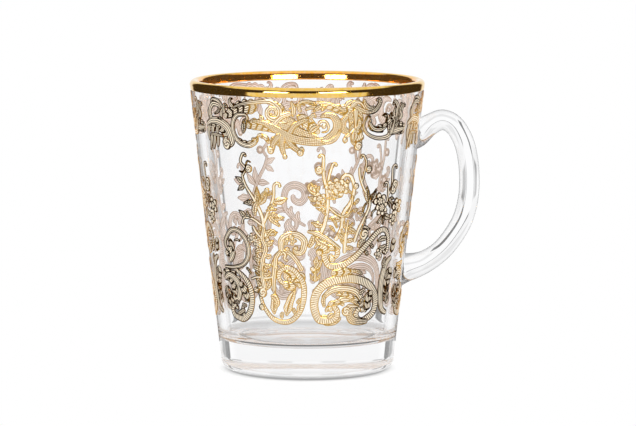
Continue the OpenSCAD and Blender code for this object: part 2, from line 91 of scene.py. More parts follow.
def wall_r(z):
    """Outer radius of the glass at height z."""
    return WALL_P[0] + (z - WALL_P[1]) * math.tan(LEAN)


def inner_r(z):
    """Inner radius of the glass at height z."""
    return wall_r(z) - WALL_T / math.cos(LEAN)


def arc(centre, r, start, end, steps):
    """Points of an arc in the (radius, height) plane, angles in degrees."""
    a = np.radians(np.linspace(start, end, steps + 1))
    return np.c_[centre[0] + r * np.cos(a), centre[1] + r * np.sin(a)]


def turns(count):
    """Even angles once round, in radians."""
    return 2 * np.pi * np.arange(count) / count


def tube_faces(rings, count, closed=False, flip=False):
    """Quads between rings that follow each other, each a closed loop of count points."""
    faces = []
    for i in range(rings if closed else rings - 1):
        p, q = i * count, (i + 1) % rings * count
        for j in range(count):
            k = (j + 1) % count
            faces.append((p + j, q + j, q + k, p + k) if flip else (p + j, p + k, q + k, q + j))
    return faces


def end_caps(rings, count):
    """The two faces that close a tube."""
    last = (rings - 1) * count
    return [tuple(reversed(range(count))), tuple(range(last, last + count))]


def mesh_from(name, verts, faces, materials, face_mats=None):
    """A smooth mesh object from points in mm and a list of faces."""
    mesh = bpy.data.meshes.new(name)
    mesh.from_pydata([tuple(v) for v in np.asarray(verts) * MM], [], faces)
    for m in materials:
        mesh.materials.append(m)
    if face_mats is not None:
        mesh.polygons.foreach_set("material_index", np.asarray(face_mats, np.int32))
    mesh.polygons.foreach_set("use_smooth", np.ones(len(mesh.polygons), bool))
    mesh.update()
    obj = bpy.data.objects.new(name, mesh)
    bpy.context.scene.collection.objects.link(obj)
    return obj


def declare(piece, slot, *nodes):
    """A piece that stands for CAD nodes of the one body."""
    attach(piece, "root")
    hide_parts(*nodes)


# Node helpers
def fill(nt, node, inputs):
    """Sets inputs to constants, or links them to other nodes."""
    for key, value in inputs.items():
        socket = node.inputs[key]
        if isinstance(value, bpy.types.NodeSocket):
            nt.links.new(value, socket)
        elif socket.type == "RGBA":
            socket.default_value = (*value, 1)
        else:
            socket.default_value = value


def add(nt, kind, inputs=None, **props):
    node = nt.nodes.new(kind)
    for key, value in props.items():
        setattr(node, key, value)
    fill(nt, node, inputs or {})
    return node


def node_material(name, inputs):
    m = bpy.data.materials.new(name)
    m.use_nodes = True
    bsdf = m.node_tree.nodes["Principled BSDF"]
    fill(m.node_tree, bsdf, inputs)
    return m, m.node_tree, bsdf


def math_node(nt, op, a, b=0.0, clamp=False):
    return add(nt, "ShaderNodeMath", {0: a, 1: b}, operation=op, use_clamp=clamp).outputs[0]


def smooth_range(nt, value, lo, hi, a=0.0, b=1.0):
    inputs = {"Value": value, "From Min": lo, "From Max": hi, "To Min": a, "To Max": b}
    return add(nt, "ShaderNodeMapRange", inputs, interpolation_type="SMOOTHSTEP").outputs["Result"]


def mixed(nt, kind, factor, a, b):
    inputs = {"Factor": factor, "A": a, "B": b}
    return add(nt, "ShaderNodeMix", inputs, data_type=kind).outputs["Result"]


def ramp(nt, value, stops):
    """The colour at a value, from stops of (place, colour)."""
    node = add(nt, "ShaderNodeValToRGB", {"Fac": value})
    points = node.color_ramp.elements
    points[0].position, points[0].color = stops[0][0], (*stops[0][1], 1)
    points[1].position, points[1].color = stops[-1][0], (*stops[-1][1], 1)
    for place, colour in stops[1:-1]:
        points.new(place).color = (*colour, 1)
    return node.outputs["Color"]


def mottling(nt, scale, detail):
    coord = add(nt, "ShaderNodeTexCoord")
    inputs = {"Scale": scale, "Detail": detail, "Vector": coord.outputs["Object"]}
    return add(nt, "ShaderNodeTexNoise", inputs).outputs["Fac"]


def bumped(nt, bsdf, height, strength, distance):
    bump = add(nt, "ShaderNodeBump", {"Strength": strength, "Distance": distance, "Height": height})
    nt.links.new(bump.outputs["Normal"], bsdf.inputs["Normal"])


# Materials. Noise scales are per metre, and bump distances are in metres.
GLASS_IOR = 1.5
RIPPLE = (55.0, 1.0)
FROST = (1800.0, 3.0)
CLOUDS = (130.0, 2.0)
GRAIN = (900.0, 4.0)
GRAIN_DEPTH = 0.0001
# the film: where an engraved line fades out, by its wave, and how far in from the edge, in mm, the
# engraving fades in and the outline fades out
LINE_FADE = (0.36, 0.7)
ENGRAVING_FROM = (0.28, 0.4)
OUTLINE_TO = (0.31, 0.42)


def glass_material():
    """Clear soda glass, fire polished: faint drawn ripples and a very faint grey tint."""
    m, nt, bsdf = node_material("clear_glass_look",
                                {"Roughness": 0.0, "IOR": GLASS_IOR, "Transmission Weight": 1.0})
    wave = mottling(nt, *RIPPLE)
    tint = ramp(nt, wave, [(0.35, (0.981, 0.982, 0.987)), (0.65, (0.989, 0.990, 0.994))])
    nt.links.new(tint, bsdf.inputs["Base Color"])
    bumped(nt, bsdf, wave, 0.008, 0.001)
    return m


def ground_material():
    """The ring that the glass stands on: finely ground, so it is matt and white."""
    m, nt, bsdf = node_material("ground_foot_look", {"IOR": GLASS_IOR})
    grain = mottling(nt, *FROST)
    tone = mixed(nt, "RGBA", smooth_range(nt, grain, 0.3, 0.7), (0.94, 0.94, 0.94), (0.98, 0.98, 0.98))
    fill(nt, bsdf, {"Base Color": tone, "Roughness": smooth_range(nt, grain, 0.35, 0.7, 0.6, 0.8)})
    bumped(nt, bsdf, grain, 0.3, GRAIN_DEPTH)
    return m


def shaded(nt, colour):
    """A colour with the faint clouds and grains that firing leaves."""
    clouds = smooth_range(nt, mottling(nt, *CLOUDS), 0.3, 0.7, 0.93, 1.05)
    grains = smooth_range(nt, mottling(nt, *GRAIN), 0.3, 0.7, 0.9, 1.1)
    inputs = {"Color": colour, "Value": clouds, "Saturation": grains}
    return add(nt, "ShaderNodeHueSaturation", inputs).outputs["Color"]


def polished_gold(name, colour, rough, metal):
    """Burnished gold of the lip."""
    m, nt, bsdf = node_material(name, {"Metallic": metal})
    grain = mottling(nt, *GRAIN)
    fill(nt, bsdf, {"Base Color": shaded(nt, colour),
                    "Roughness": smooth_range(nt, grain, 0.35, 0.75, rough - 0.02, rough + 0.04)})
    bumped(nt, bsdf, grain, 0.15, GRAIN_DEPTH)
    return m


def film_material(name, stops, engraved, fill_metal, line_metal, fill_rough, line_rough):
    """Gold film: a drawn outline, satin fill and fine engraved lines.

    The mesh carries the distance from the edge in mm and two phases of the engraving."""
    m, nt, bsdf = node_material(name, {"Specular IOR Level": 0.25, "Specular Tint": (0.95, 0.66, 0.36)})
    drawn = add(nt, "ShaderNodeAttribute", attribute_name="engraving")
    split = add(nt, "ShaderNodeSeparateXYZ", {"Vector": drawn.outputs["Vector"]})
    edge, first, second = split.outputs

    def line(phase):
        wave = math_node(nt, "ABSOLUTE", math_node(nt, "SINE", phase))
        return smooth_range(nt, wave, *LINE_FADE, 1.0, 0.0)

    lines = math_node(nt, "MAXIMUM", line(first), line(second))
    lines = math_node(nt, "MULTIPLY", lines, smooth_range(nt, edge, *ENGRAVING_FROM))
    outline = smooth_range(nt, edge, *OUTLINE_TO, 1.0, 0.0)
    drawn_part = math_node(nt, "MAXIMUM", lines, outline)
    grain = mottling(nt, *GRAIN)
    rough = math_node(nt, "ADD", smooth_range(nt, drawn_part, 0.0, 1.0, fill_rough, line_rough),
                      smooth_range(nt, grain, 0.35, 0.75, -0.03, 0.05), clamp=True)
    fill(nt, bsdf, {"Base Color": shaded(nt, mixed(nt, "RGBA", lines, ramp(nt, edge, stops), engraved)),
                    "Metallic": smooth_range(nt, drawn_part, 0.0, 1.0, fill_metal, line_metal),
                    "Roughness": rough})
    bumped(nt, bsdf, math_node(nt, "SUBTRACT", grain, lines), 0.1, GRAIN_DEPTH)
    return m


GLASS = glass_material()
GROUND = ground_material()
RIM_GOLD = polished_gold("rim_gold_look", (0.88, 0.57, 0.15), 0.06, 0.96)
# the inside of the lip is the same gold in a deeper orange: a painted warm inter-reflection of the gilding
# inside the bowl
RIM_INSIDE = polished_gold("rim_gold_inside_look", (1.0, 0.5, 0.12), 0.06, 0.91)
RIM_BACK = polished_gold("rim_gold_back_look", (0.95, 0.55, 0.12), 0.1, 1.0)

# Colours of a film by the distance from its edge in mm: dark outline, gold ridge, pale fill
DARK_LINE = (0.48, 0.28, 0.06)
GOLD_LINE = (1.0, 0.72, 0.3)
PALE_FILL = (0.99, 0.87, 0.69)
FRONT_STOPS = [(0.0, DARK_LINE), (0.22, DARK_LINE), (0.26, GOLD_LINE), (0.3, GOLD_LINE), (0.37, PALE_FILL)]
FILM_GOLD = film_material("film_gold_look", FRONT_STOPS, (0.52, 0.3, 0.06), 0.06, 1.0, 0.5, 0.12)
BROWN = (0.38, 0.23, 0.12)
MAUVE = (0.97, 0.87, 0.8)
BACK_STOPS = [(0.0, BROWN), (0.2, BROWN), (0.34, MAUVE), (1.0, MAUVE)]
FILM_BACK = film_material("film_back_look", BACK_STOPS, (0.4, 0.27, 0.17), 0.0, 0.0, 0.6, 0.6)

# Glass: body and handle, melted into one
BODY_SEGMENTS = 256
WALL_STEP = 1.6
INNER_STEP = 2.4
GROUND_H = 1.1
GROUND_EDGE = 0.1


def body_profile():
    """Section of the body from the hollow under it, round the wall, to the middle of the floor."""
    foot_in = HEEL_C[0] - FOOT_RING_W
    punt_r = (foot_in ** 2 + PUNT_H ** 2) / (2 * PUNT_H)
    half = math.degrees(math.asin(foot_in / punt_r))
    round_z = FLOOR_T + FLOOR_ROUND_R
    round_c = (inner_r(round_z) - FLOOR_ROUND_R / math.cos(LEAN), round_z)
    punt = arc((0, PUNT_H - punt_r), punt_r, 90, 90 - half, 16)
    heel = arc(HEEL_C, HEEL_R, -90, -LEAN_DEG, 20)
    lip = arc(LIP_C, LIP_R, -LEAN_DEG, 180 - LEAN_DEG, 36)
    corner = arc(round_c, FLOOR_ROUND_R, -LEAN_DEG, -90, 20)
    middle = np.array([0, FLOOR_T])

    def between(a, b, step):
        n = int(np.linalg.norm(b - a) / step)
        return a + (b - a) * np.linspace(0, 1, n + 1)[1:-1, None]

    return np.vstack([punt, heel, between(heel[-1], lip[0], WALL_STEP), lip,
                      between(lip[-1], corner[0], INNER_STEP), corner,
                      between(corner[-1], middle, INNER_STEP), middle[None]])


def lathe(name, profile, segments, materials):
    """A closed solid of revolution. The profile starts and ends on the axis."""
    n = len(profile) - 2
    a = turns(segments)
    ring = np.stack([np.outer(np.cos(a), profile[1:-1, 0]), np.outer(np.sin(a), profile[1:-1, 0]),
                     np.tile(profile[1:-1, 1], (segments, 1))], -1).reshape(-1, 3)
    verts = np.vstack([[[0, 0, profile[0][1]]], ring, [[0, 0, profile[-1][1]]]])
    last = len(verts) - 1
    faces = []
    for s in range(segments):
        p, q = 1 + s * n, 1 + (s + 1) % segments * n
        faces.append((0, q, p))
        for i in range(n - 1):
            faces.append((p + i, q + i, q + i + 1, p + i + 1))
        faces.append((last, p + n - 1, q + n - 1))
    return mesh_from(name, verts, faces, materials)


# The handle's path: shares of its reach, out from the wall, and of the height between its roots
HANDLE_PATH = [
    (-0.1, 0.98), (0, 0.985), (0.2, 1.045), (0.45, 1.082), (0.69, 1.04), (0.875, 0.93),
    (0.965, 0.8), (1, 0.645), (0.98, 0.49), (0.89, 0.335), (0.73, 0.2), (0.53, 0.085),
    (0.28, 0.005), (0, -0.035), (-0.1, -0.045)]
HANDLE_STEPS = 14
HANDLE_SIDES = 56
AXIS_IN = 3.2
UPPER_FLARE = 0.2
LOWER_FLARE = 0.24
FLARE_POWER = 2.4
SECTION_POWER = 0.8
ROOT_POWER = 0.45
ROOT_TURN = 0.12
TURN_POWER = 1.5


def spline(knots, steps):
    """Catmull-Rom through the knots, and the knot number of each point."""
    k = np.asarray(knots, float)
    padded = np.vstack([k[:1], k, k[-1:]])
    out, where = [], []
    for i in range(len(k) - 1):
        a, b, c, d = padded[i:i + 4]
        for j in range(steps):
            t = j / steps
            out.append((2 * b + (c - a) * t + (2 * a - 5 * b + 4 * c - d) * t * t
                        + (3 * b - a - 3 * c + d) * t ** 3) / 2)
            where.append(i + t)
    out.append(k[-1])
    where.append(len(k) - 1)
    return np.array(out), np.array(where)


def unit(v):
    return v / np.linalg.norm(v, axis=1)[:, None]


def handle_solid():
    """The handle: rounded sections along its path, wider and taller at its two roots."""
    z = LOWER_ROOT_Z + np.array(HANDLE_PATH)[:, 1] * (UPPER_ROOT_Z - LOWER_ROOT_Z)
    out = wall_r(z) + np.array(HANDLE_PATH)[:, 0] * (REACH - AXIS_IN - wall_r(z))
    line, where = spline(np.c_[out, z], HANDLE_STEPS)
    u = where / where[-1]
    up = np.clip(1 - u / UPPER_FLARE, 0, 1) ** FLARE_POWER
    low = np.clip(1 - (1 - u) / LOWER_FLARE, 0, 1) ** FLARE_POWER
    high = HANDLE_T + up * (UPPER_ROOT_H - HANDLE_T) + low * (LOWER_ROOT_H - HANDLE_T)
    wide = HANDLE_W + (up + low) * (ROOT_W - HANDLE_W)
    # near the wall the sections turn until they lie along it
    turn_up = np.clip(1 - u / ROOT_TURN, 0, 1)[:, None] ** TURN_POWER
    turn_low = np.clip(1 - (1 - u) / ROOT_TURN, 0, 1)[:, None] ** TURN_POWER
    ahead = unit(np.gradient(line, axis=0))
    ahead = unit(ahead * (1 - turn_up - turn_low) + OUT_N * turn_up - OUT_N * turn_low)
    a = turns(HANDLE_SIDES)
    power = SECTION_POWER + (ROOT_POWER - SECTION_POWER) * (up + low)
    verts = []
    for i in range(len(line)):
        across = np.sign(np.cos(a)) * np.abs(np.cos(a)) ** power[i] * wide[i] / 2
        rise = np.sign(np.sin(a)) * np.abs(np.sin(a)) ** power[i] * high[i] / 2
        p = line[i] + rise[:, None] * np.array([-ahead[i][1], ahead[i][0]])
        verts.append(np.c_[p[:, 0], across, p[:, 1]])
    faces = tube_faces(len(line), HANDLE_SIDES) + end_caps(len(line), HANDLE_SIDES)
    return np.vstack(verts), faces


def smooth_normals(source):
    """A function giving the source mesh's own smooth normal near a point."""
    verts = [v.co.copy() for v in source.data.vertices]
    normals = [v.normal.copy() for v in source.data.vertices]
    polys = [tuple(p.vertices) for p in source.data.polygons]
    tree = BVHTree.FromPolygons(verts, polys)

    def at(point):
        hit, _, index, _ = tree.find_nearest(point)
        ids = polys[index]
        n = Vector()
        for i, k in zip(ids, poly_3d_calc([verts[i] for i in ids], hit)):
            n += normals[i] * k
        return n.normalized()

    return at


def fused_glass():
    """The body and the handle as one solid of glass, each keeping its own smooth normals."""
    marks = [bpy.data.materials.new("mark_body"), bpy.data.materials.new("mark_handle")]
    body = lathe("glass", body_profile(), BODY_SEGMENTS, marks[:1])
    handle = mesh_from("handle_shape", *handle_solid(), marks[1:])
    at_body, at_handle = smooth_normals(body), smooth_normals(handle)
    mod = body.modifiers.new("union", "BOOLEAN")
    mod.operation = "UNION"
    mod.solver = "EXACT"
    mod.material_mode = "TRANSFER"
    mod.object = handle
    bpy.context.view_layer.update()
    made = bpy.data.meshes.new_from_object(body.evaluated_get(bpy.context.evaluated_depsgraph_get()))
    body.modifiers.clear()
    old = body.data
    body.data = made
    names = [m.name if m else "" for m in made.materials]
    normals = [None] * len(made.loops)
    for p in made.polygons:
        at = at_handle if "handle" in names[p.material_index] else at_body
        for li in p.loop_indices:
            normals[li] = at(made.vertices[made.loops[li].vertex_index].co)
    made.materials.clear()
    made.materials.append(GLASS)
    made.materials.append(GROUND)
    from_r = (HEEL_C[0] - GROUND_EDGE) * MM
    ground = [p.center.z < GROUND_H * MM and p.center.xy.length > from_r for p in made.polygons]
    made.polygons.foreach_set("material_index", np.array(ground, np.int32))
    made.polygons.foreach_set("use_smooth", np.ones(len(made.polygons), bool))
    made.normals_split_custom_set(normals)
    bpy.data.objects.remove(handle)
    bpy.data.meshes.remove(old)
    for m in marks:
        bpy.data.materials.remove(m)
    return body


declare(fused_glass(), "clear_glass", "glass_body", "handle")

# Gold band over the lip
BAND_SEGMENTS = 320
# the hem's waves: height, times round and phase
HEM_WAVES = [(0.05, 3, 0.4), (0.03, 11, 0), (0.015, 29, 1.1)]
# the hem's edge: how far up from it, and the share of the film's full thickness
HEM_ROUND = [(0.04, 0.8), (0.12, 1.0)]
# how far the flat stretches stay from the hem, and from the lip's centre outside and inside
FLAT_UP = 0.5
FLAT_OUTSIDE = 0.35
FLAT_INSIDE = 0.1
# the point of the top arc from which the lip takes the inside copy of its gold, deeper orange: a painted
# warm inter-reflection
INSIDE_FROM = 30


def rim_band():
    """A thin closed ring of gold over the lip, with rounded edges and a drawn, slightly uneven hem."""
    gap, full = FILM_GAP / math.cos(LEAN), (FILM_GAP + FILM_T) / math.cos(LEAN)
    top = arc(LIP_C, LIP_R + FILM_GAP + FILM_T, -LEAN_DEG, 180 - LEAN_DEG, 40)
    under = arc(LIP_C, LIP_R + FILM_GAP, 180 - LEAN_DEG, -LEAN_DEG, 28)
    a = turns(BAND_SEGMENTS)
    wave = sum(high * np.sin(times * a + phase) for high, times, phase in HEM_WAVES)
    verts = []
    for angle, shift in zip(a, wave):
        out_z = CUP_H - BAND_OUT_H + shift
        in_z = CUP_H - BAND_IN_H - shift
        outer = [(wall_r(out_z) + gap, out_z)]
        outer += [(wall_r(out_z + up) + full * share, out_z + up) for up, share in HEM_ROUND]
        outer += [(wall_r(z) + full, z) for z in np.linspace(out_z + FLAT_UP, LIP_C[1] - FLAT_OUTSIDE, 3)]
        inner = [(inner_r(z) - full, z) for z in np.linspace(LIP_C[1] - FLAT_INSIDE, in_z + FLAT_UP, 3)]
        inner += [(inner_r(in_z + up) - full * share, in_z + up) for up, share in HEM_ROUND[::-1]]
        inner += [(inner_r(in_z) - gap, in_z)]
        ring = np.vstack([outer, top, inner, under])
        verts.append(np.c_[ring[:, 0] * math.cos(angle), ring[:, 0] * math.sin(angle), ring[:, 1]])
    back = len(ring) - len(under) - 1
    inside = len(outer) + INSIDE_FROM
    mats = [1 if i >= back else 2 if i >= inside else 0 for i in range(len(ring))] * BAND_SEGMENTS
    faces = tube_faces(BAND_SEGMENTS, len(ring), closed=True, flip=True)
    obj = mesh_from("gold_lip", np.vstack(verts), faces, [RIM_GOLD, RIM_BACK, RIM_INSIDE], mats)
    obj.data.set_sharp_from_angle(angle=math.radians(50))
    return obj


declare(rim_band(), "rim_gold", "rim_gilding")

# Gilded ornament, drawn on a flat sheet and wrapped on the wall.
# Each row of it has three groups of strokes, leaves, fronds and blossoms, and finer growth and dots
# between them. Places are an angle round the cup in degrees and a height, and heights, widths, radii and
# sizes are in percent of the height of the row.
# A stroke is its style, widths and places, then the volutes at its end and its start, if it has any,
# each as radius and turn. It has a width for each place, or three, which give a smooth swell.
# A leaf or frond is a place, heading, size, width, bend and count of lobes or pairs, and a blossom or
# dot is a place, radius and count of petals.
NONE = (0, 0)


def sprig(width, *places):
    """A slim leaf."""
    return "leaf", (3, width, 3), places


# The frieze under the lip
FRIEZE = dict(strokes=[[
    ("veins", (8, 17, 10), (-60, 50, -55, 58, -49, 58, -43.5, 49, -41.2, 34), (11, -230)),
    ("veins", (10, 9, 6), (-57.5, 50, -59, 36, -58, 22)), ("veins", (10, 9, 6), (-54, 50, -55, 38, -54, 25)),
    ("veins", (10, 8, 5), (-50.5, 50, -51, 38, -50, 28)),
    ("veins", (9, 9, 5), (-54.5, 60, -56, 74, -53, 87, -49, 87), (6, -210)),
    ("veins", (8, 8, 5), (-47.5, 60, -46.5, 74, -44, 86), (4, -160)),
    ("veins", (4, 10, 5),
     (-32.5, 73, -36.5, 71, -39.3, 58, -39.2, 40, -36, 25, -31, 20, -27.5, 24), (6, 200), (8, -190))
], [
    ("veins", (5, 9, 4), (-39, 83, -34, 90, -26, 95, -18.4, 97, -14.8, 90), (14, -560)),
    ("pebble", (5, 10, 14, 15, 15, 14, 16, 15, 13, 9, 5),
     (-28, 63, -22, 60, -15, 49, -8, 36, 0, 30, 8, 30, 13.4, 42, 15, 56, 13.4, 70, 9.6, 74.5, 6.4, 71)),
    ("veins", (12, 9, 4), (-17, 56, -13, 70, -8, 77), (5, -150)),
    ("pebble", (12, 9, 4), (-9, 42, -6, 57, -1, 66), (5, -150)),
    ("veins", (3, 6, 3), (-9, 84, -4, 93, 3, 96, 11, 93, 17, 84), (5, -200)),
    ("veins", (6, 7, 3), (-1, 84, 3, 88, 7, 88), (4, -200)),
    ("pebble", (13, 9, 6), (-13, 42, -16.5, 28, -17.5, 17), (5, -210)),
    ("pebble", (13, 11, 7), (-12, 42, -12.5, 20, -11.3, 5)),
    ("pebble", (13, 9, 6), (-10.5, 40, -8, 24, -4, 13), (5, 210))
], [
    ("pebble", (6, 10, 5), (20.5, 94, 25, 86, 30, 78, 35, 80, 37.5, 90), (7, 190)),
    ("veins", (3, 6, 10), (30.5, 68, 29, 54, 31.5, 40, 37, 32, 43, 32, 47, 38), NONE, (5, -170)),
    ("veins", (5, 8, 5), (32.5, 58, 35, 48, 39.5, 46, 43, 54, 43.5, 66), (5, 170), (4, -120)),
    ("veins", (8, 14, 8), (44, 36, 50, 42, 57, 44)),
    ("veins", (10, 8, 5), (51, 70, 50.5, 82, 49, 90), (6, 170)),
    ("veins", (10, 7, 5), (52, 66, 53.5, 78, 54.5, 84), (4, -160)),
    ("veins", (7, 7, 5), (22, 42, 19.5, 36, 19, 25))
]], leaves=[[
    (-33.5, 40, 70, 26, 12, 30, 1)
], [
    (1, 42, 60, 26, 12, -50, 1), (-22, 60, 100, 16, 10, 20, 1)
], []], fronds=[[], [], [
    (24, 84, -83, 60, 40, -10, 3), (46, 36, 60, 50, 44, 25, 3)
]], blossoms=[[
    (-45.5, 23, 7, 0)
], [], [
    (26.5, 20, 8, 0)
]], growth=[
    ("plume", (10, 17, 24, 26, 26, 20), (-45.3, 68, -41.5, 73, -37, 80, -32.5, 85, -28, 87, -24.6, 86)),
    ("veins", (9, 7, 6), (-44.4, 72, -44.8, 83, -43.9, 90)),
    ("veins", (10, 7, 5, 3), (-38.6, 84, -40.4, 93, -39.6, 99, -38.2, 98)),
    ("plume", (5, 10, 15, 17, 10), (-17, 97, -13.4, 90, -11.6, 79, -11.2, 67, -9, 60)),
    ("plume", (8, 20, 22, 17, 12), (-31.6, 53, -27.4, 57, -22, 56.5, -17, 52, -12, 46)),
    ("pebble", (8, 20, 24, 22, 12), (-16.5, 58, -11, 53, -6, 46, -1, 38.5, 6, 33)),
    ("pebble", (6, 14, 12), (-13.5, 69, -9.5, 66, -5.5, 60)),
    ("pebble", (8, 17, 20, 14, 8), (-18.6, 31, -15, 31, -11.5, 26, -8, 24, -5, 17)),
    ("pebble", (6, 8, 10, 7, 4), (7, 30, 10.5, 28, 13.5, 33, 15.6, 41, 16.6, 50)),
    ("plume", (5, 17, 22, 18, 6), (6.2, 43, 3.4, 52, 0.4, 61, -2.6, 69, -5, 73)),
    ("veins", (8, 7, 3), (1, 68, 3.3, 75, 4.5, 70)), ("veins", (4, 9, 6), (-7.6, 98, -6.4, 86, -6.6, 74)),
    ("veins", (5, 6, 6, 4), (-4.8, 88, -3.4, 95.5, 0, 98.5, 4, 95.5)),
    ("veins", (7, 6, 4, 3), (-2.6, 80, -3.8, 86, -2.8, 93, -0.8, 91)),
    ("leaf", (3, 9, 5), (2.8, 80, 5, 86, 7.6, 92)), sprig(5, 0.6, 93, 3, 93.5, 5, 92),
    ("gilt", (5, 5.5, 5, 4.5, 4, 3), (5.6, 58, 6.6, 63.5, 9, 63.5, 10.5, 56, 9.9, 47, 7, 45)),
    ("plume", (4, 10, 18, 22, 18, 8), (6, 89.5, 11, 88, 16, 84, 21, 78.5, 25.4, 70, 28, 60)),
    ("veins", (8, 8, 6), (18.8, 87, 20, 94, 23, 98.5)),
    ("veins", (10, 10, 6, 4), (21.6, 87, 24.2, 95, 26.8, 93, 29.4, 82)),
    ("pebble", (8, 13, 14, 10), (20.4, 73, 17.8, 62, 18.1, 50, 21.4, 44)),
    ("pebble", (8, 10, 10), (26.6, 66, 26.4, 55, 24.6, 48)),
    ("plume", (12, 27, 25, 12), (24.4, 50, 25.3, 40, 25.7, 29, 26.2, 19)),
    ("leaf", (5, 8, 10, 5), (28.6, 100, 29.2, 91, 31.5, 84, 35, 85.5)),
    ("plume", (4, 10, 11, 5), (31.7, 58, 33.6, 50, 37.6, 46, 41.4, 42.5)),
    ("plume", (5, 8, 9, 10), (37, 53, 41, 52, 44.6, 59, 48, 66)),
    ("veins", (4.5, 4.5, 4, 3), (42.4, 56, 42.8, 67, 41.6, 72.5, 39.6, 69)),
    ("veins", (6, 5, 4), (44.6, 60, 45, 69, 45.8, 75)),
    ("plume", (10, 22, 24, 18), (47.6, 62, 49.6, 52, 53, 46, 58.3, 44)),
    ("veins", (13, 10, 7, 6, 4), (49.2, 60, 50.4, 72, 49.4, 83, 48.4, 90, 46.6, 88)),
    ("veins", (10, 10, 7, 5, 3), (51.8, 60, 53.6, 68, 51.9, 77, 53.3, 86, 51.8, 89)),
    ("plume", (24, 22, 17, 14, 18), (-58.6, 46, -54, 50, -49, 48, -45.2, 39, -44.4, 25)),
    ("veins", (10, 9, 4), (-55.5, 34, -57, 20, -58.4, 6)),
    ("veins", (9, 9, 5), (-53, 34, -54.2, 20, -55.6, 8)),
    ("veins", (8, 8, 5), (-50.4, 34, -50.9, 22, -51.7, 13)),
    ("veins", (5, 7, 5), (-57, 34.5, -52, 34.5, -46.6, 33)),
    ("veins", (8, 11, 6, 6, 10, 8, 4),
     (-56.5, 62, -56.7, 73, -54.8, 84, -53.4, 95, -49, 93, -46.2, 84, -48, 76)),
    ("leaf", (3, 7, 5), (-52.2, 70, -49.6, 74, -47, 79)),
    ("leaf", (3, 6, 4), (-50, 63.5, -48, 64.5, -45.6, 63)),
    ("plume", (7, 12, 11, 9, 6), (-37.2, 31, -33.4, 23.5, -29.4, 23.5, -26.2, 29, -25.4, 37)),
    ("plume", (5, 8, 9, 7), (-25.4, 38, -22.6, 38.5, -20.2, 33, -18.6, 25)),
    ("stem", (3.5, 4, 3.5, 3), (-33.4, 57, -32.2, 64, -30.9, 62, -32, 46))
], dots=[
    (-44.4, 20, 10, 0), (-18.4, 13, 6.2, 0), (-11.1, 3, 4.5, 0), (-3.3, 10, 6, 0), (8.3, 55.5, 4.5, 0),
    (26.6, 18, 6, 0), (19.2, 31, 5, 0)
])

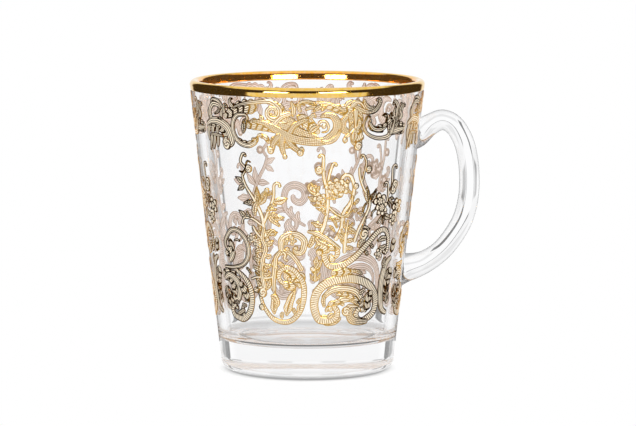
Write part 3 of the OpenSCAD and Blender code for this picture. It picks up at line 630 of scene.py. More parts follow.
# The vine sprays in the middle of the wall
VINES = dict(strokes=[[
    ("stem", (5, 4.5, 3), (-21.5, 2, -24, 14, -25, 30, -29, 47, -34, 62, -36, 74)),
    ("stem", (3, 3.5, 3), (-35.5, 72, -33.5, 80, -36.2, 87, -35, 94), (3, -190)),
    ("stem", (4.5, 3.5, 3), (-24.5, 22, -21, 36, -18, 50, -17.5, 62), (5, -200)),
    ("stem", (4, 3.5, 3), (-25, 20, -31, 27, -36.5, 27, -38, 20))
], [
    ("stem", (5, 4, 3), (5, 6, 9, 20, 11, 40, 10.5, 58, 8.6, 74, 8.4, 93), (3.5, 190)),
    ("stem", (3.5, 3.5, 3), (10.6, 60, 11.5, 74, 13, 85), (3, -190)),
    ("stem", (3.5, 3.5, 3), (9.5, 52, 5.5, 52, 2.5, 58), (4.5, -230)),
    ("stem", (5, 4.5, 3.5), (15.5, 5, 19, 18, 20, 34, 24, 46, 25.5, 60, 24, 70), (7, 330)),
    ("stem", (3.5, 3, 3), (11, 42, 15.5, 34, 19.5, 30))
], [
    ("stem", (4.5, 4, 3), (27, 2, 29.5, 16, 34, 32, 35.5, 44, 31, 60, 28.5, 72, 28, 82)),
    ("stem", (3, 3, 3), (30, 66, 31, 76, 32, 86, 30.5, 93), (3, 190)),
    ("stem", (4, 3.5, 3), (43, 20, 46, 33, 48.5, 48, 48, 60), (4.5, 200)),
    ("stem", (4, 3.5, 3), (49, 50, 51, 60, 50.5, 76), (5.5, -200))
]], leaves=[[
    (-35, 64, 140, 13, 7, 20, 1), (-34, 62, 200, 13, 7, 20, 1), (-28, 44, 75, 18, 8, 20, 1),
    (-27, 42, 40, 18, 8, 20, 1), (-28, 44, 175, 17, 8, 20, 1), (-18.3, 46, 5, 17, 9, 20, 1),
    (-22, 30, -10, 20, 9, 20, 1), (-24, 14, -10, 16, 8, 20, 1), (-35, 27, 130, 13, 7, 20, 1)
], [
    (12, 56, -30, 14, 8, 20, 1), (8.6, 20, 150, 14, 8, 20, 1), (5.5, 53, 130, 12, 7, 20, 1),
    (19.4, 26, 160, 16, 8, 20, 1), (19.6, 30, 20, 12, 7, 20, 1)
], [
    (35, 42, 110, 20, 8, -20, 1), (35.5, 42, 55, 18, 8, 20, 1), (28.5, 12, 160, 14, 7, -20, 1),
    (30, 18, -20, 15, 8, 20, 1), (45, 30, -30, 17, 8, 20, 1), (33, 30, 150, 11, 6, 20, 1)
]], fronds=[[], [
    (10, 38, 135, 24, 17, 10, 2)
], [
    (49.5, 46, -48, 28, 17, 20, 2)
]], blossoms=[[
    (-31.5, 80, 4.5, 0)
], [
    (6.2, 80, 4.5, 0), (16, 64, 8.5, 5)
], [
    (33.5, 79, 4, 0), (42.5, 44, 10, 5), (53.5, 60, 5.5, 0), (57.5, 36, 10, 5)
]], growth=[
    ("stem", (3, 3, 2), (-33.2, 83, -31.8, 88, -29.8, 86.5)),
    ("stem", (2.5, 3, 3), (-37.6, 77, -35.4, 76, -33.6, 79)), sprig(5.5, -25.8, 47, -27, 54, -27, 60),
    sprig(6, -24.8, 47, -24, 53, -22.4, 57), sprig(4.5, -23, 53, -21.6, 59, -20, 59),
    sprig(5, -21, 52, -19.6, 55, -18.8, 53),
    ("leaf", (4, 9, 8, 3), (-29.2, 30, -29.4, 36, -28.4, 42, -26.6, 46)),
    sprig(7, -28.6, 40, -31.6, 44, -34, 44.5), sprig(6, -31.5, 28, -33.6, 31, -34, 35.5),
    sprig(5.5, -22.6, 36, -19, 38.5, -16, 37.5), sprig(5, -21.6, 39, -18.6, 42.5, -16, 42),
    ("leaf", (3, 8, 7, 3), (-21, 34, -19.6, 28, -17, 24, -14.6, 20)),
    sprig(6, -20.6, 33, -17.6, 33, -16, 28),
    ("stem", (5, 5.5, 4.5, 4), (-31, 20, -29, 13, -26, 7, -23.6, 0)),
    ("leaf", (3, 7, 5), (-28.6, 11, -30.6, 6, -32.8, 2)), ("leaf", (3, 6, 4), (-28, 13, -26.4, 17, -27, 21)),
    ("stem", (3.5, 3.5, 3.5, 3, 3), (-23.4, 6, -21, 12, -18.8, 16, -17.3, 12.5, -18.6, 9.5)),
    ("leaf", (3.5, 4, 3), (-23, 2, -20.4, 4, -18.4, 4.5)),
    ("stem", (4, 3.5, 3, 3, 3), (4.8, 55, 1.8, 57.5, 0.6, 63, 2.2, 66.5, 3.2, 62)),
    sprig(5, 5.4, 55, 5.8, 60, 6.4, 64),
    ("stem", (3.5, 4, 3.5, 3.5), (19, 30, 22.6, 34, 24.6, 44, 24.6, 53)),
    ("leaf", (3.5, 5, 4), (24.4, 54, 22, 58, 20.8, 62)),
    ("leaf", (3, 6, 4), (25.4, 42, 27.4, 45.5, 28.6, 49)), ("leaf", (3, 6, 4), (25, 38, 26.4, 36, 28.4, 38)),
    sprig(4.5, 31.4, 33, 32, 39, 33.4, 44), sprig(4.5, 34.6, 45, 34.6, 51, 34.2, 57),
    sprig(4.5, 36, 45, 37.6, 51, 38.8, 56), ("stem", (3, 3.5, 3), (34, 30, 32.6, 22, 31.4, 16)),
    sprig(6, 9.4, 8, 6.4, 3, 4.2, -3), sprig(6, 9.6, 7, 8.4, 1, 8, -5), sprig(5, 5, 12, 2.4, 6, 0.8, -2),
    ("stem", (3.5, 4, 3.5), (21, -6, 21.6, 10, 22.8, 27)), sprig(5, 21.4, 0, 19.6, 4, 18.4, 10),
    sprig(5, 21.6, 2, 23.4, 5, 25, 6), sprig(5, 21.6, 8, 19.8, 13, 19, 18),
    sprig(5, 21.8, 10, 23.8, 13, 25.4, 12), sprig(5, 22, 16, 20.6, 21, 20.4, 26),
    sprig(5, 22.4, 18, 24.4, 20, 25.8, 24), sprig(5, 15.4, 14, 13.6, 19, 12, 21),
    sprig(5, 16.6, 18, 15.4, 24, 13.8, 29), sprig(5, 10.4, 32, 8.8, 36, 8.4, 41),
    sprig(4.5, 10.4, 50, 12.8, 50, 15.6, 49), sprig(5, 47.4, 30, 46.4, 24, 46.2, 18),
    ("stem", (3, 4, 3), (45, 28, 43, 24, 41.6, 20)), ("stem", (3, 4, 3), (40, 36, 37.8, 33, 37.4, 28))
], dots=[
    (-21.4, 58, 2.8, 0), (6.6, 50, 7.5, 5), (12.6, 62, 7.5, 5), (18, 60, 9.5, 6), (33.2, 10, 6, 0),
    (52.6, 55, 5.5, 0), (54.6, 24, 8.5, 6), (44.2, 37, 10, 7), (26.4, 62, 3.5, 0)
])

# The large scrolls above the base
SCROLLS = dict(strokes=[[
    ("veins", (3.5, 6, 4),
     (-52, 87, -47, 96, -41, 96, -36, 87, -35, 74, -38.5, 63, -46, 58, -56, 57), NONE, (9, 210)),
    ("hatch", (5, 7.5, 4), (-46, 56, -39.8, 49, -35.8, 40, -34.6, 27, -36.8, 13, -42, 5, -48, 6), (8, -250)),
    ("veins", (6, 8, 3), (-57, 44, -52, 49, -47, 46, -43.5, 38, -44.5, 28), (6, -230)),
    ("veins", (5, 6, 3), (-41, 6, -42.5, 14, -41, 20))
], [
    ("hatch", (3, 6, 4),
     (-29.3, 46, -28.8, 32, -26, 18, -20, 7, -11.5, 5, -5, 14, -2, 29, -2.2, 45, -6, 56), (12, 330)),
    ("veins", (3.5, 5, 4), (-19, 66, -16, 75, -10.5, 77, -6, 69, -2.5, 58), NONE, (5, 130)),
    ("veins", (4, 7, 4), (-14.5, 82, -14, 90, -10, 95, -5, 95, -1.5, 89, -2, 81), (6, -230), (5, 210))
], [
    ("hatch", (5, 9.5, 5),
     (13, 6, 7, 8, 4.2, 22, 6, 36, 11.5, 45, 21, 49, 31, 47, 40, 39, 45, 26, 44, 12, 38, 5), (10, -260),
     (10, 240)),
    ("veins", (5, 7, 3), (9, 29, 14, 37, 22, 39, 30, 35, 34.5, 26), (5, -210)),
    ("veins", (5, 8, 3), (16, 22, 21, 27, 28, 27)), ("veins", (5, 7, 3), (23, 10, 26, 19, 32, 19)),
    ("hatch", (4, 7, 4),
     (52, 76, 52, 87, 48.5, 96, 43, 95, 36, 84, 28, 71, 20, 63, 13, 63, 10.3, 70), (9, -370), (5, -160)),
    ("veins", (5, 9, 5), (57, 67, 52, 60, 49.3, 45, 49.2, 28, 51.5, 14, 57, 8))
]], leaves=[[], [
    (-20, 12, 95, 25, 9, -20, 2), (-12.5, 11, 80, 30, 11, -20, 2), (-5.5, 12, 70, 17, 7, 20, 1)
], []], fronds=[[
    (-55.5, 36, -80, 26, 17, 20, 2)
], [
    (-25.5, 36, 93, 42, 26, 10, 3)
], [
    (4.8, 47, 95, 27, 16, -10, 2), (54.5, 20, 82, 36, 16, 20, 2)
]], blossoms=[[], [
    (-28.5, 84, 5, 5)
], [
    (44.5, 72, 6, 5)
]], growth=[
    ("plume", (5, 10, 9, 4), (-54, 71, -50.4, 73, -47.6, 80, -49.6, 87)),
    ("veins", (6, 7, 4), (-50.4, 63, -47.6, 69, -45.2, 75)),
    ("stem", (2, 3, 2), (-45.4, 85.5, -42.4, 87, -40.4, 85)),
    ("plume", (10, 15, 17, 13, 5), (-58.6, 47, -53, 49, -48, 45, -44.2, 38, -43, 29)),
    ("plume", (8, 12, 4), (-50, 40, -47.4, 33, -46.4, 26)),
    ("plume", (6, 10, 9, 4), (-43.6, 43, -40.6, 37, -38.4, 29, -38.6, 22)),
    ("pebble", (4, 6, 4), (-47, 9, -43.4, 12, -40.6, 15)), sprig(5, -42.6, 21, -40.6, 19, -38.8, 20),
    sprig(4, -48.6, 20, -46.4, 22, -44.8, 20),
    ("plume", (6, 14, 13, 5), (-57.6, 36, -55, 30, -53.2, 20, -54.2, 12)),
    ("veins", (4.5, 4.5, 5, 5, 4.5, 4), (-24, 102, -25.4, 90, -23.6, 80, -25.6, 70, -27, 58, -27, 44)),
    sprig(6, -25, 90, -28.6, 88, -31, 84), sprig(6, -24.4, 86, -21.6, 85, -19.2, 87),
    sprig(6, -24.4, 78, -28, 78, -30.6, 75), sprig(6, -24.6, 74, -22.4, 72, -20.4, 74),
    sprig(6, -26, 68, -29.4, 68, -32.2, 71), sprig(6, -26, 65, -23.4, 62, -20.6, 63),
    sprig(6, -27, 58, -30, 59, -32.6, 62), sprig(6, -27, 55, -24.2, 53, -21.2, 56),
    ("stem", (3, 3.5, 3.5, 3), (-34.6, 47, -30, 50, -24, 49.5, -18.8, 52)),
    sprig(3.5, -34, 52, -36, 57.5, -37.6, 58),
    ("veins", (4.5, 5, 5, 4.5, 3.5), (-19.6, 36, -19.4, 50, -18.4, 62, -17.4, 72, -14.6, 78.5)),
    ("stem", (3, 3.5, 3, 3), (-14, 78, -12.2, 75, -12.6, 70, -10.6, 68.5)),
    sprig(5, -16.6, 66, -14.6, 64.5, -13.2, 61), ("plume", (5, 8, 6), (-33, 36, -29, 37, -24, 39)),
    ("plume", (8, 16, 14, 6), (-13.4, 50, -9, 53, -4.6, 50, -2.8, 40)),
    ("plume", (5, 10, 5), (-14, 44, -10, 42, -6, 42)), sprig(4.5, -3.8, 30, -5.2, 26, -6.6, 25),
    sprig(4.5, -6, 12, -7.6, 16, -8, 20), sprig(4.5, -15, 8, -15.4, 12, -14.2, 15),
    ("leaf", (3, 7, 5, 3), (-22, 31, -19.2, 30, -17.6, 24, -19.4, 19)),
    sprig(5, -11.8, 84, -11.4, 89, -9.6, 90), sprig(5, -8.4, 84, -7.6, 89, -5.4, 88.5),
    ("pebble", (9, 11, 8, 3), (7.6, 10, 12.4, 6, 17, 5.5, 21, 9)),
    ("leaf", (6, 5, 3), (12.4, 8, 14.6, 12, 16.8, 11)),
    ("pebble", (5, 8, 9, 8, 4), (40, 3, 33.6, 3, 28, 6, 26.4, 13, 29, 18.5)),
    ("plume", (3, 6, 5, 3), (11, 15, 14.4, 23.5, 19, 25, 22.6, 21)),
    ("plume", (3, 6, 6, 3), (17, 33, 23, 32.5, 28.6, 28, 33, 24)),
    ("plume", (5, 10, 10, 4), (42, 34, 39, 28, 38.6, 19, 36, 13)),
    ("leaf", (4, 6, 3), (36.4, 37, 33.6, 34, 31.4, 33)), ("leaf", (4, 5, 3), (37.6, 27, 35, 26, 33.4, 22)),
    sprig(5, 25.6, 26, 29, 25, 31.6, 21), sprig(5, 10.6, 34, 9.6, 27, 10.4, 20),
    ("leaf", (5, 7, 3), (50.6, 80, 47.6, 77.5, 44.4, 79)),
    ("leaf", (5, 7, 3), (50.4, 87, 46.6, 87.5, 43, 85)),
    ("plume", (5, 10, 5), (13.6, 55, 20, 56, 27.6, 56.5)), sprig(5, 27, 57, 30.6, 55.5, 33.6, 52),
    ("veins", (3, 6, 5, 3), (0, 99, 5.6, 96.5, 12.4, 89, 19, 80)),
    ("plume", (5, 10, 8, 3), (6, 74, 8.4, 80, 12, 82, 16.6, 79)),
    ("leaf", (4, 6, 6, 3), (4.6, 93, 7.4, 87, 10.6, 84, 12, 76)), sprig(6, 3.4, 95, 2.6, 88, 0.8, 82),
    ("stem", (4, 4.5, 4), (21.4, 75, 21.4, 86, 21.8, 96)), sprig(5.5, 21.6, 80, 24, 81, 26.6, 80),
    sprig(5.5, 21.6, 88, 24.4, 88.5, 26.8, 90), sprig(5.5, 21.2, 90, 18.8, 93, 17.4, 97),
    ("leaf", (4, 6, 5), (30, 80, 31, 86, 34.6, 88)), sprig(4.5, 34, 76, 35.4, 75, 36.4, 71),
    sprig(4.5, 37.4, 84, 39, 81, 40, 78),
    ("plume", (10, 14, 12, 5), (58.4, 55, 54.4, 44, 54.2, 30, 57.6, 18)),
    ("plume", (7, 9, 5), (57.6, 86, 57.4, 79, 56.2, 71)), ("leaf", (4, 6, 3), (50.6, 56, 49.6, 62, 51, 68)),
    sprig(6, 4.8, 60, 6.6, 64, 8, 70)
], dots=[
    (-32.4, 90, 5.5, 6), (-28, 19, 3.5, 0), (-27, 34, 5, 0), (24, 15, 5, 0), (3.4, 60, 3, 0),
    (14.2, 70, 3.5, 0), (-8.6, 93, 3, 0)
])

# The large volute on the back of the cup, and the stem that it grows from
BACK_GROWTH = [
    ("veins", (6, 7.5, 8, 8.5, 9, 8.5, 8, 7, 5),
     (-46.2, 12, -45.4, 24, -47.2, 36, -52, 40, -57.2, 36, -58.4, 27, -55.4, 21, -51.6, 24, -51.2, 30)),
    ("veins", (3, 4.5, 6), (-58.8, -5, -51.4, 3, -46.2, 14)),
    ("leaf", (4, 6, 3), (-51.6, 5, -49.4, 11, -50.4, 17)), ("leaf", (4, 6, 3), (-55, 0, -53.6, 6, -54.8, 11))
]

FRIEZE_Z = CUP_H - BAND_OUT_H - FRIEZE_DROP - FRIEZE_H
VINES_Z = SCROLLS_Z + 0.84 * SCROLLS_H
VINES_H = FRIEZE_Z + 0.13 * FRIEZE_H - VINES_Z
ROWS = {"frieze": (FRIEZE_Z, FRIEZE_H, FRIEZE), "vines": (VINES_Z, VINES_H, VINES),
        "scrolls": (SCROLLS_Z, SCROLLS_H, SCROLLS)}
# each side's middle, and the handle as seen from there, in degrees
SIDES = {"front": (-90, 90), "right": (30, -30), "left": (150, -150)}
ROOTS = [(UPPER_ROOT_Z, UPPER_ROOT_H / 2), (LOWER_ROOT_Z, LOWER_ROOT_H / 2)]
NEAR_ROOTS = 1.2
FINER_VINES = 0.75
# growth wider than this, in percent, lies under the main strokes, and the rest on top of them
WIDE_GROWTH = 10

# Volutes: degrees of a coarse and a fine step, the share of the radius left at the end, and the coarse
# steps in the stretch between two places
CURL_TURN = 32
CURL_STEP = 7
CURL_END = 0.3
KNOT_STEPS = 3

# Engraving: spacing of threads, dots and the lobes of plumes
THREAD = 0.76
STIPPLE = 0.6
LOBE = 2.4
PLAIN = math.pi / 2

# Relief: the fill's height, what each level and each disc adds, and the ridge along the edge
STEP = 0.22
FILL_H = 0.07
LAYER = 0.06
CROWN_H = 0.03
DOME_H = 0.06
FLANGE = 0.2
RIDGE_AT = 0.3
RIDGE_W = 0.11
RIDGE_H = 0.02
RIDGE_FROM = (0.16, 0.26)
LEAST_HALF = 0.12
LEAST_LEAF_HALF = 0.05
LEAST_BUD = 0.42
LEAST_RUN = 7
# columns of a strip on each side: how far in from the edge, and at most which share of the half width
INWARD = np.array([0, 0.12, 0.2, 0.27, 0.34, 0.46, 9.0])
CUT = np.array([0, 0.2, 0.34, 0.48, 0.6, 0.72, 0.86])
LEAF_NECK = 0.16
FROND_SPREAD = 48
FROND_BEND = 35
DISC_RINGS = [0.08, 0.2, 0.34, 0.48, 0.62, 0.76, 0.88, 1.0]


def polar(a):
    return np.array([math.cos(math.radians(a)), math.sin(math.radians(a))])


def course(a, b):
    return math.degrees(math.atan2(b[1] - a[1], b[0] - a[0]))


def ridge(edge):
    return np.exp(-((edge - RIDGE_AT) / RIDGE_W) ** 2)


def curl(p, heading, r, sweep):
    """A volute that winds inwards from p, finely stepped, and the coarse step number of each point."""
    coarse = math.ceil(abs(sweep) / CURL_TURN)
    steps = math.ceil(abs(sweep) / CURL_STEP)
    out, where = [], []
    q = np.array(p, float)
    turn = sweep / steps
    for i in range(steps):
        t = (i + 0.5) / steps
        radius = r * (1 - (1 - CURL_END) * min(t + 0.5 / coarse, 1))
        q = q + 2 * radius * math.sin(math.radians(abs(turn)) / 2) * polar(heading + turn * (i + 0.5))
        out.append(q)
        where.append(coarse * (i + 1) / steps)
    return np.array(out), np.array(where)


def stroke_line(knots, last, first, h):
    """The centre line of a stroke and the share of its steps at each point."""
    line, where = spline(knots, 12)
    where = where * KNOT_STEPS
    if first[1]:
        pts, w = curl(line[0], course(line[1], line[0]), first[0] / 100 * h, first[1])
        line = np.vstack([pts[::-1], line])
        where = np.concatenate([w[-1] - w[::-1], where + w[-1]])
    if last[1]:
        pts, w = curl(line[-1], course(line[-2], line[-1]), last[0] / 100 * h, last[1])
        line = np.vstack([line, pts])
        where = np.concatenate([where, where[-1] + w])
    return line, where / where[-1]


def resampled(line, share, step=STEP):
    """Even steps along a line."""
    gaps = np.linalg.norm(np.diff(line, axis=0), axis=1)
    s = np.concatenate([[0], np.cumsum(gaps)])
    n = max(int(round(s[-1] / step)), 6)
    t = np.linspace(0, s[-1], n + 1)
    return np.c_[np.interp(t, s, line[:, 0]), np.interp(t, s, line[:, 1])], np.interp(t, s, share), t


def bent_line(foot, a, size, bend, n):
    out = [np.array(foot, float)]
    for i in range(n):
        out.append(out[-1] + size / n * polar(a + bend * (i + 0.5) / n))
    return np.array(out)


class Film:
    """One gilded film, gathered from closed strips and blossoms wrapped on the wall."""

    def __init__(self, z0, h, middle, handle_at):
        self.z0, self.h, self.middle, self.handle_at = z0, h, middle, handle_at
        self.r = wall_r(z0 + h / 2)
        self.verts, self.drawn, self.faces, self.mats = [], [], [], []
        self.count = 0

    def flat(self, angle, height):
        """A place of the tables on the flat sheet in mm."""
        return np.array([math.radians(angle) * self.r, height / 100 * self.h])

    def wrap(self, xy, rise):
        """Points of the flat sheet, raised off the glass and wrapped on the wall."""
        angle = xy[..., 0] / self.r + math.radians(self.middle)
        z = self.z0 + xy[..., 1]
        radius = wall_r(z) + (FILM_GAP + rise) / math.cos(LEAN)
        return np.stack([radius * np.cos(angle), radius * np.sin(angle), z], -1)

    def clear_of_roots(self, xy, half):
        """Which points stay clear of the handle's roots."""
        keep = np.ones(len(xy), bool)
        angle = xy[:, 0] / self.r - math.radians(self.handle_at)
        for z, half_h in ROOTS:
            bare = max(ROOT_W / 2, half_h) + ROOT_MARGIN
            away = np.hypot(wall_r(z) * np.sin(angle), self.z0 + xy[:, 1] - z)
            keep &= (away > bare + half * 0.6) | (np.abs(angle) > NEAR_ROOTS)
        return keep

    def put(self, verts, drawn, faces, mats):
        self.verts.append(verts)
        self.drawn.append(drawn)
        self.faces.extend([tuple(i + self.count for i in f) for f in faces])
        self.mats.extend(mats)
        self.count += len(verts)

    def strip(self, line, s, left, right, style, level):
        """Closed raised strips along a line, wherever it is clear of the handle's roots."""
        keep = self.clear_of_roots(line, (left + right) / 2)
        edges = np.flatnonzero(np.diff(np.concatenate([[0], keep.astype(int), [0]])))
        for a, b in zip(edges[::2], edges[1::2]):
            if b - a >= LEAST_RUN:
                self.run(line[a:b], s[a:b], left[a:b], right[a:b], style, level)

    def run(self, line, s, left, right, style, level):
        """One closed strip. left and right are its half widths."""
        n = len(line)
        length = s[-1] - s[0]
        ahead = np.gradient(line, axis=0)
        ahead /= np.maximum(np.linalg.norm(ahead, axis=1), 1e-9)[:, None]
        side = np.c_[-ahead[:, 1], ahead[:, 0]]
        taper = np.ones(n)
        for end, away in ((0, s - s[0]), (-1, s[-1] - s)):
            cap = min(max(left[end] + right[end], 0.3) * 0.5, length * 0.3)
            taper = taper * np.sqrt(np.clip(1 - (1 - np.clip(away / cap, 0, 1)) ** 2, 0.004, 1))
        left, right = left * taper, right * taper
        both = np.concatenate([np.ones(len(INWARD)), [0], -np.ones(len(INWARD))])[None, :]
        half = np.where(both > 0, left[:, None], right[:, None])
        inward = np.concatenate([INWARD, INWARD[-1:], INWARD[::-1]])[None, :]
        cut = np.concatenate([CUT, [1.0], CUT[::-1]])[None, :]
        edge = np.minimum(inward, cut * half)
        off = both * (half - edge)
        v = off / np.maximum(half, 1e-6)
        u = s[:, None] * np.ones_like(v)
        size = np.minimum((left + right)[:, None] / 2, 1.0)
        threads = max(2.0, round(float(np.max(left + right)) / THREAD))
        first, second = math.pi * threads * (v + 1) / 2, np.full_like(v, PLAIN)
        if style == "hatch":
            first = math.pi * (u + 0.25 * off) / THREAD
        elif style == "pebble":
            first, second = math.pi * u / STIPPLE, math.pi * off / STIPPLE
        elif style == "plume":
            first = first + 0.5 * np.sin(2 * math.pi * u / LOBE)
            second = math.pi * (u / LOBE + 0.5 * np.abs(v))
        elif style == "leaf":
            first, second = math.pi * v, math.pi * (u - 1.1 * np.abs(off)) / THREAD
        elif style in ("stem", "gilt"):
            first = second
        crown = CROWN_H * size * np.clip((edge - FLANGE) / 0.5, 0, 1)
        shoulder = np.clip((edge - RIDGE_FROM[0]) / np.ptp(RIDGE_FROM), 0, 1)
        edging = ridge(edge) * shoulder * np.clip(size * 1.6, 0.3, 1)
        top = self.wrap(line[:, None] + off[..., None] * side[:, None],
                        FILL_H + LAYER * level + crown + RIDGE_H * edging)
        low_off = np.stack([-right, 0 * left, left], 1)
        low = self.wrap(line[:, None] + low_off[..., None] * side[:, None], np.zeros((n, 3)))
        low_edge = np.stack([0 * left, np.minimum(left, right), 0 * left], 1)
        low_first = math.pi * threads * np.array([0.0, 0.5, 1.0]) * np.ones((n, 1))
        # loop round the section: top from left to right, then under it from right to left
        ring = np.concatenate([top, low], 1)
        drawn = np.stack([np.concatenate([edge, low_edge], 1), np.concatenate([first, low_first], 1),
                          np.concatenate([second, np.full((n, 3), PLAIN)], 1)], -1)
        m = ring.shape[1]
        under = [1 if top.shape[1] <= j < m - 1 else 0 for j in range(m)]
        self.put(ring.reshape(-1, 3), drawn.reshape(-1, 3), tube_faces(n, m) + end_caps(n, m),
                 under * (n - 1) + [0, 0])

    def stroke(self, style, widths, places, last=NONE, first=NONE, level=1, finer=1.0):
        knots = [self.flat(*place) for place in zip(places[::2], places[1::2])]
        widths = [w / 100 * finer for w in widths]
        line, share = stroke_line(knots, last, first, self.h)
        line, t, s = resampled(line, share)
        if len(widths) == len(knots):
            half = np.interp(t, np.linspace(0, 1, len(widths)), widths)
        else:
            start, middle, end = widths
            half = start * (1 - t) * (1 - 2 * t) + 4 * middle * t * (1 - t) + end * t * (2 * t - 1)
        left = half = np.maximum(self.h * half / 2, LEAST_HALF)
        if style == "plume":
            left = half * (0.78 + 0.3 * np.abs(np.sin(np.pi * s / 2.3)) ** 0.7)
        self.strip(line, s, left, half, style, level)
        for volute, i in ((first, 0), (last, -1)):
            if volute[1] and self.clear_of_roots(line[i][None], half[i])[0]:
                self.disc(line[i], max(half[i] * 1.25, LEAST_BUD), 0, level + 1)

    def blade(self, foot, a, size, w, bend, lobes):
        line = bent_line(foot, a, size, bend, 24)
        line, t, s = resampled(line, np.linspace(0, 1, len(line)), STEP * 0.9)
        half = w / 2 * (LEAF_NECK + (1 - LEAF_NECK) * np.sin(np.pi * np.minimum(t, 1) ** 0.8)
                        * (1 - 0.3 * np.abs(np.cos(np.pi * lobes * t))))
        half = np.maximum(half, LEAST_LEAF_HALF)
        self.strip(line, s, half, half, "leaf", 1)

    def leaf(self, angle, height, a, size, w, bend, lobes):
        self.blade(self.flat(angle, height), a, size / 100 * self.h, w / 100 * self.h, bend, lobes)

    def frond(self, angle, height, a, size, w, bend, pairs):
        size, span = size / 100 * self.h, w / 100 * self.h / 2
        rib = bent_line(self.flat(angle, height), a, size * 0.58, bend, pairs)
        for i in range(pairs):
            reach = span / math.sin(math.radians(FROND_SPREAD)) * (1 - 0.3 * i / pairs)
            for sign in (-1, 1):
                heading = course(rib[i], rib[i + 1]) + sign * FROND_SPREAD
                self.blade(rib[i], heading, reach, reach * 0.36, -sign * FROND_BEND, 1)
        fine, share = spline(rib, 10)
        fine, t, s = resampled(fine, share / share[-1])
        half = span * (0.58 - 0.36 * t) / 2
        self.strip(fine, s, half, half, "veins", 2)
        self.blade(rib[-1], course(rib[-2], rib[-1]), size * 0.42, span * 0.72, bend, 1)

    def disc(self, middle, radius, petals, level):
        """A bud, a bead or a blossom."""
        around = 48 if petals else 28
        th = turns(around)
        rim = radius * (1 - 0.4 * (1 - np.abs(np.sin(petals * th / 2))) * bool(petals))
        outwards = rim[:, None] * np.c_[np.cos(th), np.sin(th)]
        swell = DOME_H * min(radius, 1.0)
        base = FILL_H + LAYER * level
        rings, drawn = [], []
        for f in DISC_RINGS:
            edge = (1 - f) * rim
            dome = swell * math.sqrt(1 - f ** 2) * np.clip((edge - FLANGE) / 0.3, 0, 1)
            rings.append(self.wrap(middle + f * outwards, base + dome + RIDGE_H * ridge(edge)))
            if petals:
                drawn.append(np.c_[edge, petals * th / 2, np.full(around, math.pi * 2.2 * f)])
            else:
                drawn.append(np.c_[edge, th + 5 * f, np.full(around, PLAIN)])
        rings.append(self.wrap(middle + outwards, np.zeros(around)))
        drawn.append(np.zeros((around, 3)))
        rings.append(self.wrap(np.array([middle, middle]), np.array([base + swell, 0.0])))
        drawn.append(np.array([[radius, 1.0, PLAIN]] * 2))
        e = len(DISC_RINGS) * around
        c = e + around
        after = [(i + 1) % around for i in range(around)]
        faces = [(c, i, j) for i, j in enumerate(after)]
        faces += tube_faces(len(DISC_RINGS) + 1, around, flip=True)
        mats = [0] * len(faces) + [1] * around
        faces += [(c + 1, e + j, e + i) for i, j in enumerate(after)]
        self.put(np.vstack(rings), np.vstack(drawn), faces, mats)

    def blossom(self, angle, height, radius, petals):
        middle = self.flat(angle, height)
        radius = radius / 100 * self.h
        if self.clear_of_roots(middle[None], radius)[0]:
            self.disc(middle, radius, petals, 2)

    def build(self, name):
        obj = mesh_from(name, np.vstack(self.verts), self.faces, [FILM_GOLD, FILM_BACK], self.mats)
        attribute = obj.data.attributes.new("engraving", "FLOAT_VECTOR", "POINT")
        attribute.data.foreach_set("vector", np.vstack(self.drawn).astype(np.float32).ravel())
        obj.data.set_sharp_from_angle(angle=math.radians(55))
        return obj


for row_name, (z0, h, row) in ROWS.items():
    vines = row_name == "vines"
    for side_name, (middle, handle_at) in SIDES.items():
        film = Film(z0, h, middle, handle_at)
        if side_name == "front" or not vines:
            for stroke in row["growth"]:
                level = 0 if max(stroke[1]) > WIDE_GROWTH else 2
                film.stroke(*stroke, level=level, finer=FINER_VINES if vines else 1.0)
        if side_name == "left" and vines:
            for stroke in BACK_GROWTH:
                film.stroke(*stroke)
        for dot in row["dots"]:
            film.blossom(*dot)
        for k in range(3):
            for kind, draw in (("strokes", film.stroke), ("fronds", film.frond), ("leaves", film.leaf),
                               ("blossoms", film.blossom)):
                for values in row[kind][k]:
                    draw(*values)
        name = f"{row_name}_{side_name}"
        declare(film.build("gilding_" + name), "gold_film", name)

# Stage: pale floor, soft light, camera
# How bright the white floor is at distances in mm from the axis: seen directly, and through the glass
CONTACT_SHADOW = [(0, 0.7), (24.6, 0.36), (26.6, 0.44), (28, 0.7), (29.2, 0.93), (30.4, 1)]
SHADOW_AHEAD = 2.5
GLASS_SHADOW = [(0, 0.72), (21, 0.74), (22.8, 0.16), (26.4, 0.16), (27.4, 0.9), (31, 0.8), (34, 0.745),
                (38.5, 0.69), (44.7, 0.62), (51, 0.76), (58, 1)]
# The ring round the foot where the floor takes some real shadow: where it fades in and out, and how much
SHADOW_RING = (27.0, 28.0, 28.6, 31.0)
SHADOW_SHARE = 0.3
FLOOR_RINGS = [4.0, 20.0, 34.0, 48.0, 62.0]
FLOOR_R = FLOOR_RINGS[-1]
FLOOR_Z = -0.06
FLOOR_SIDES = 96


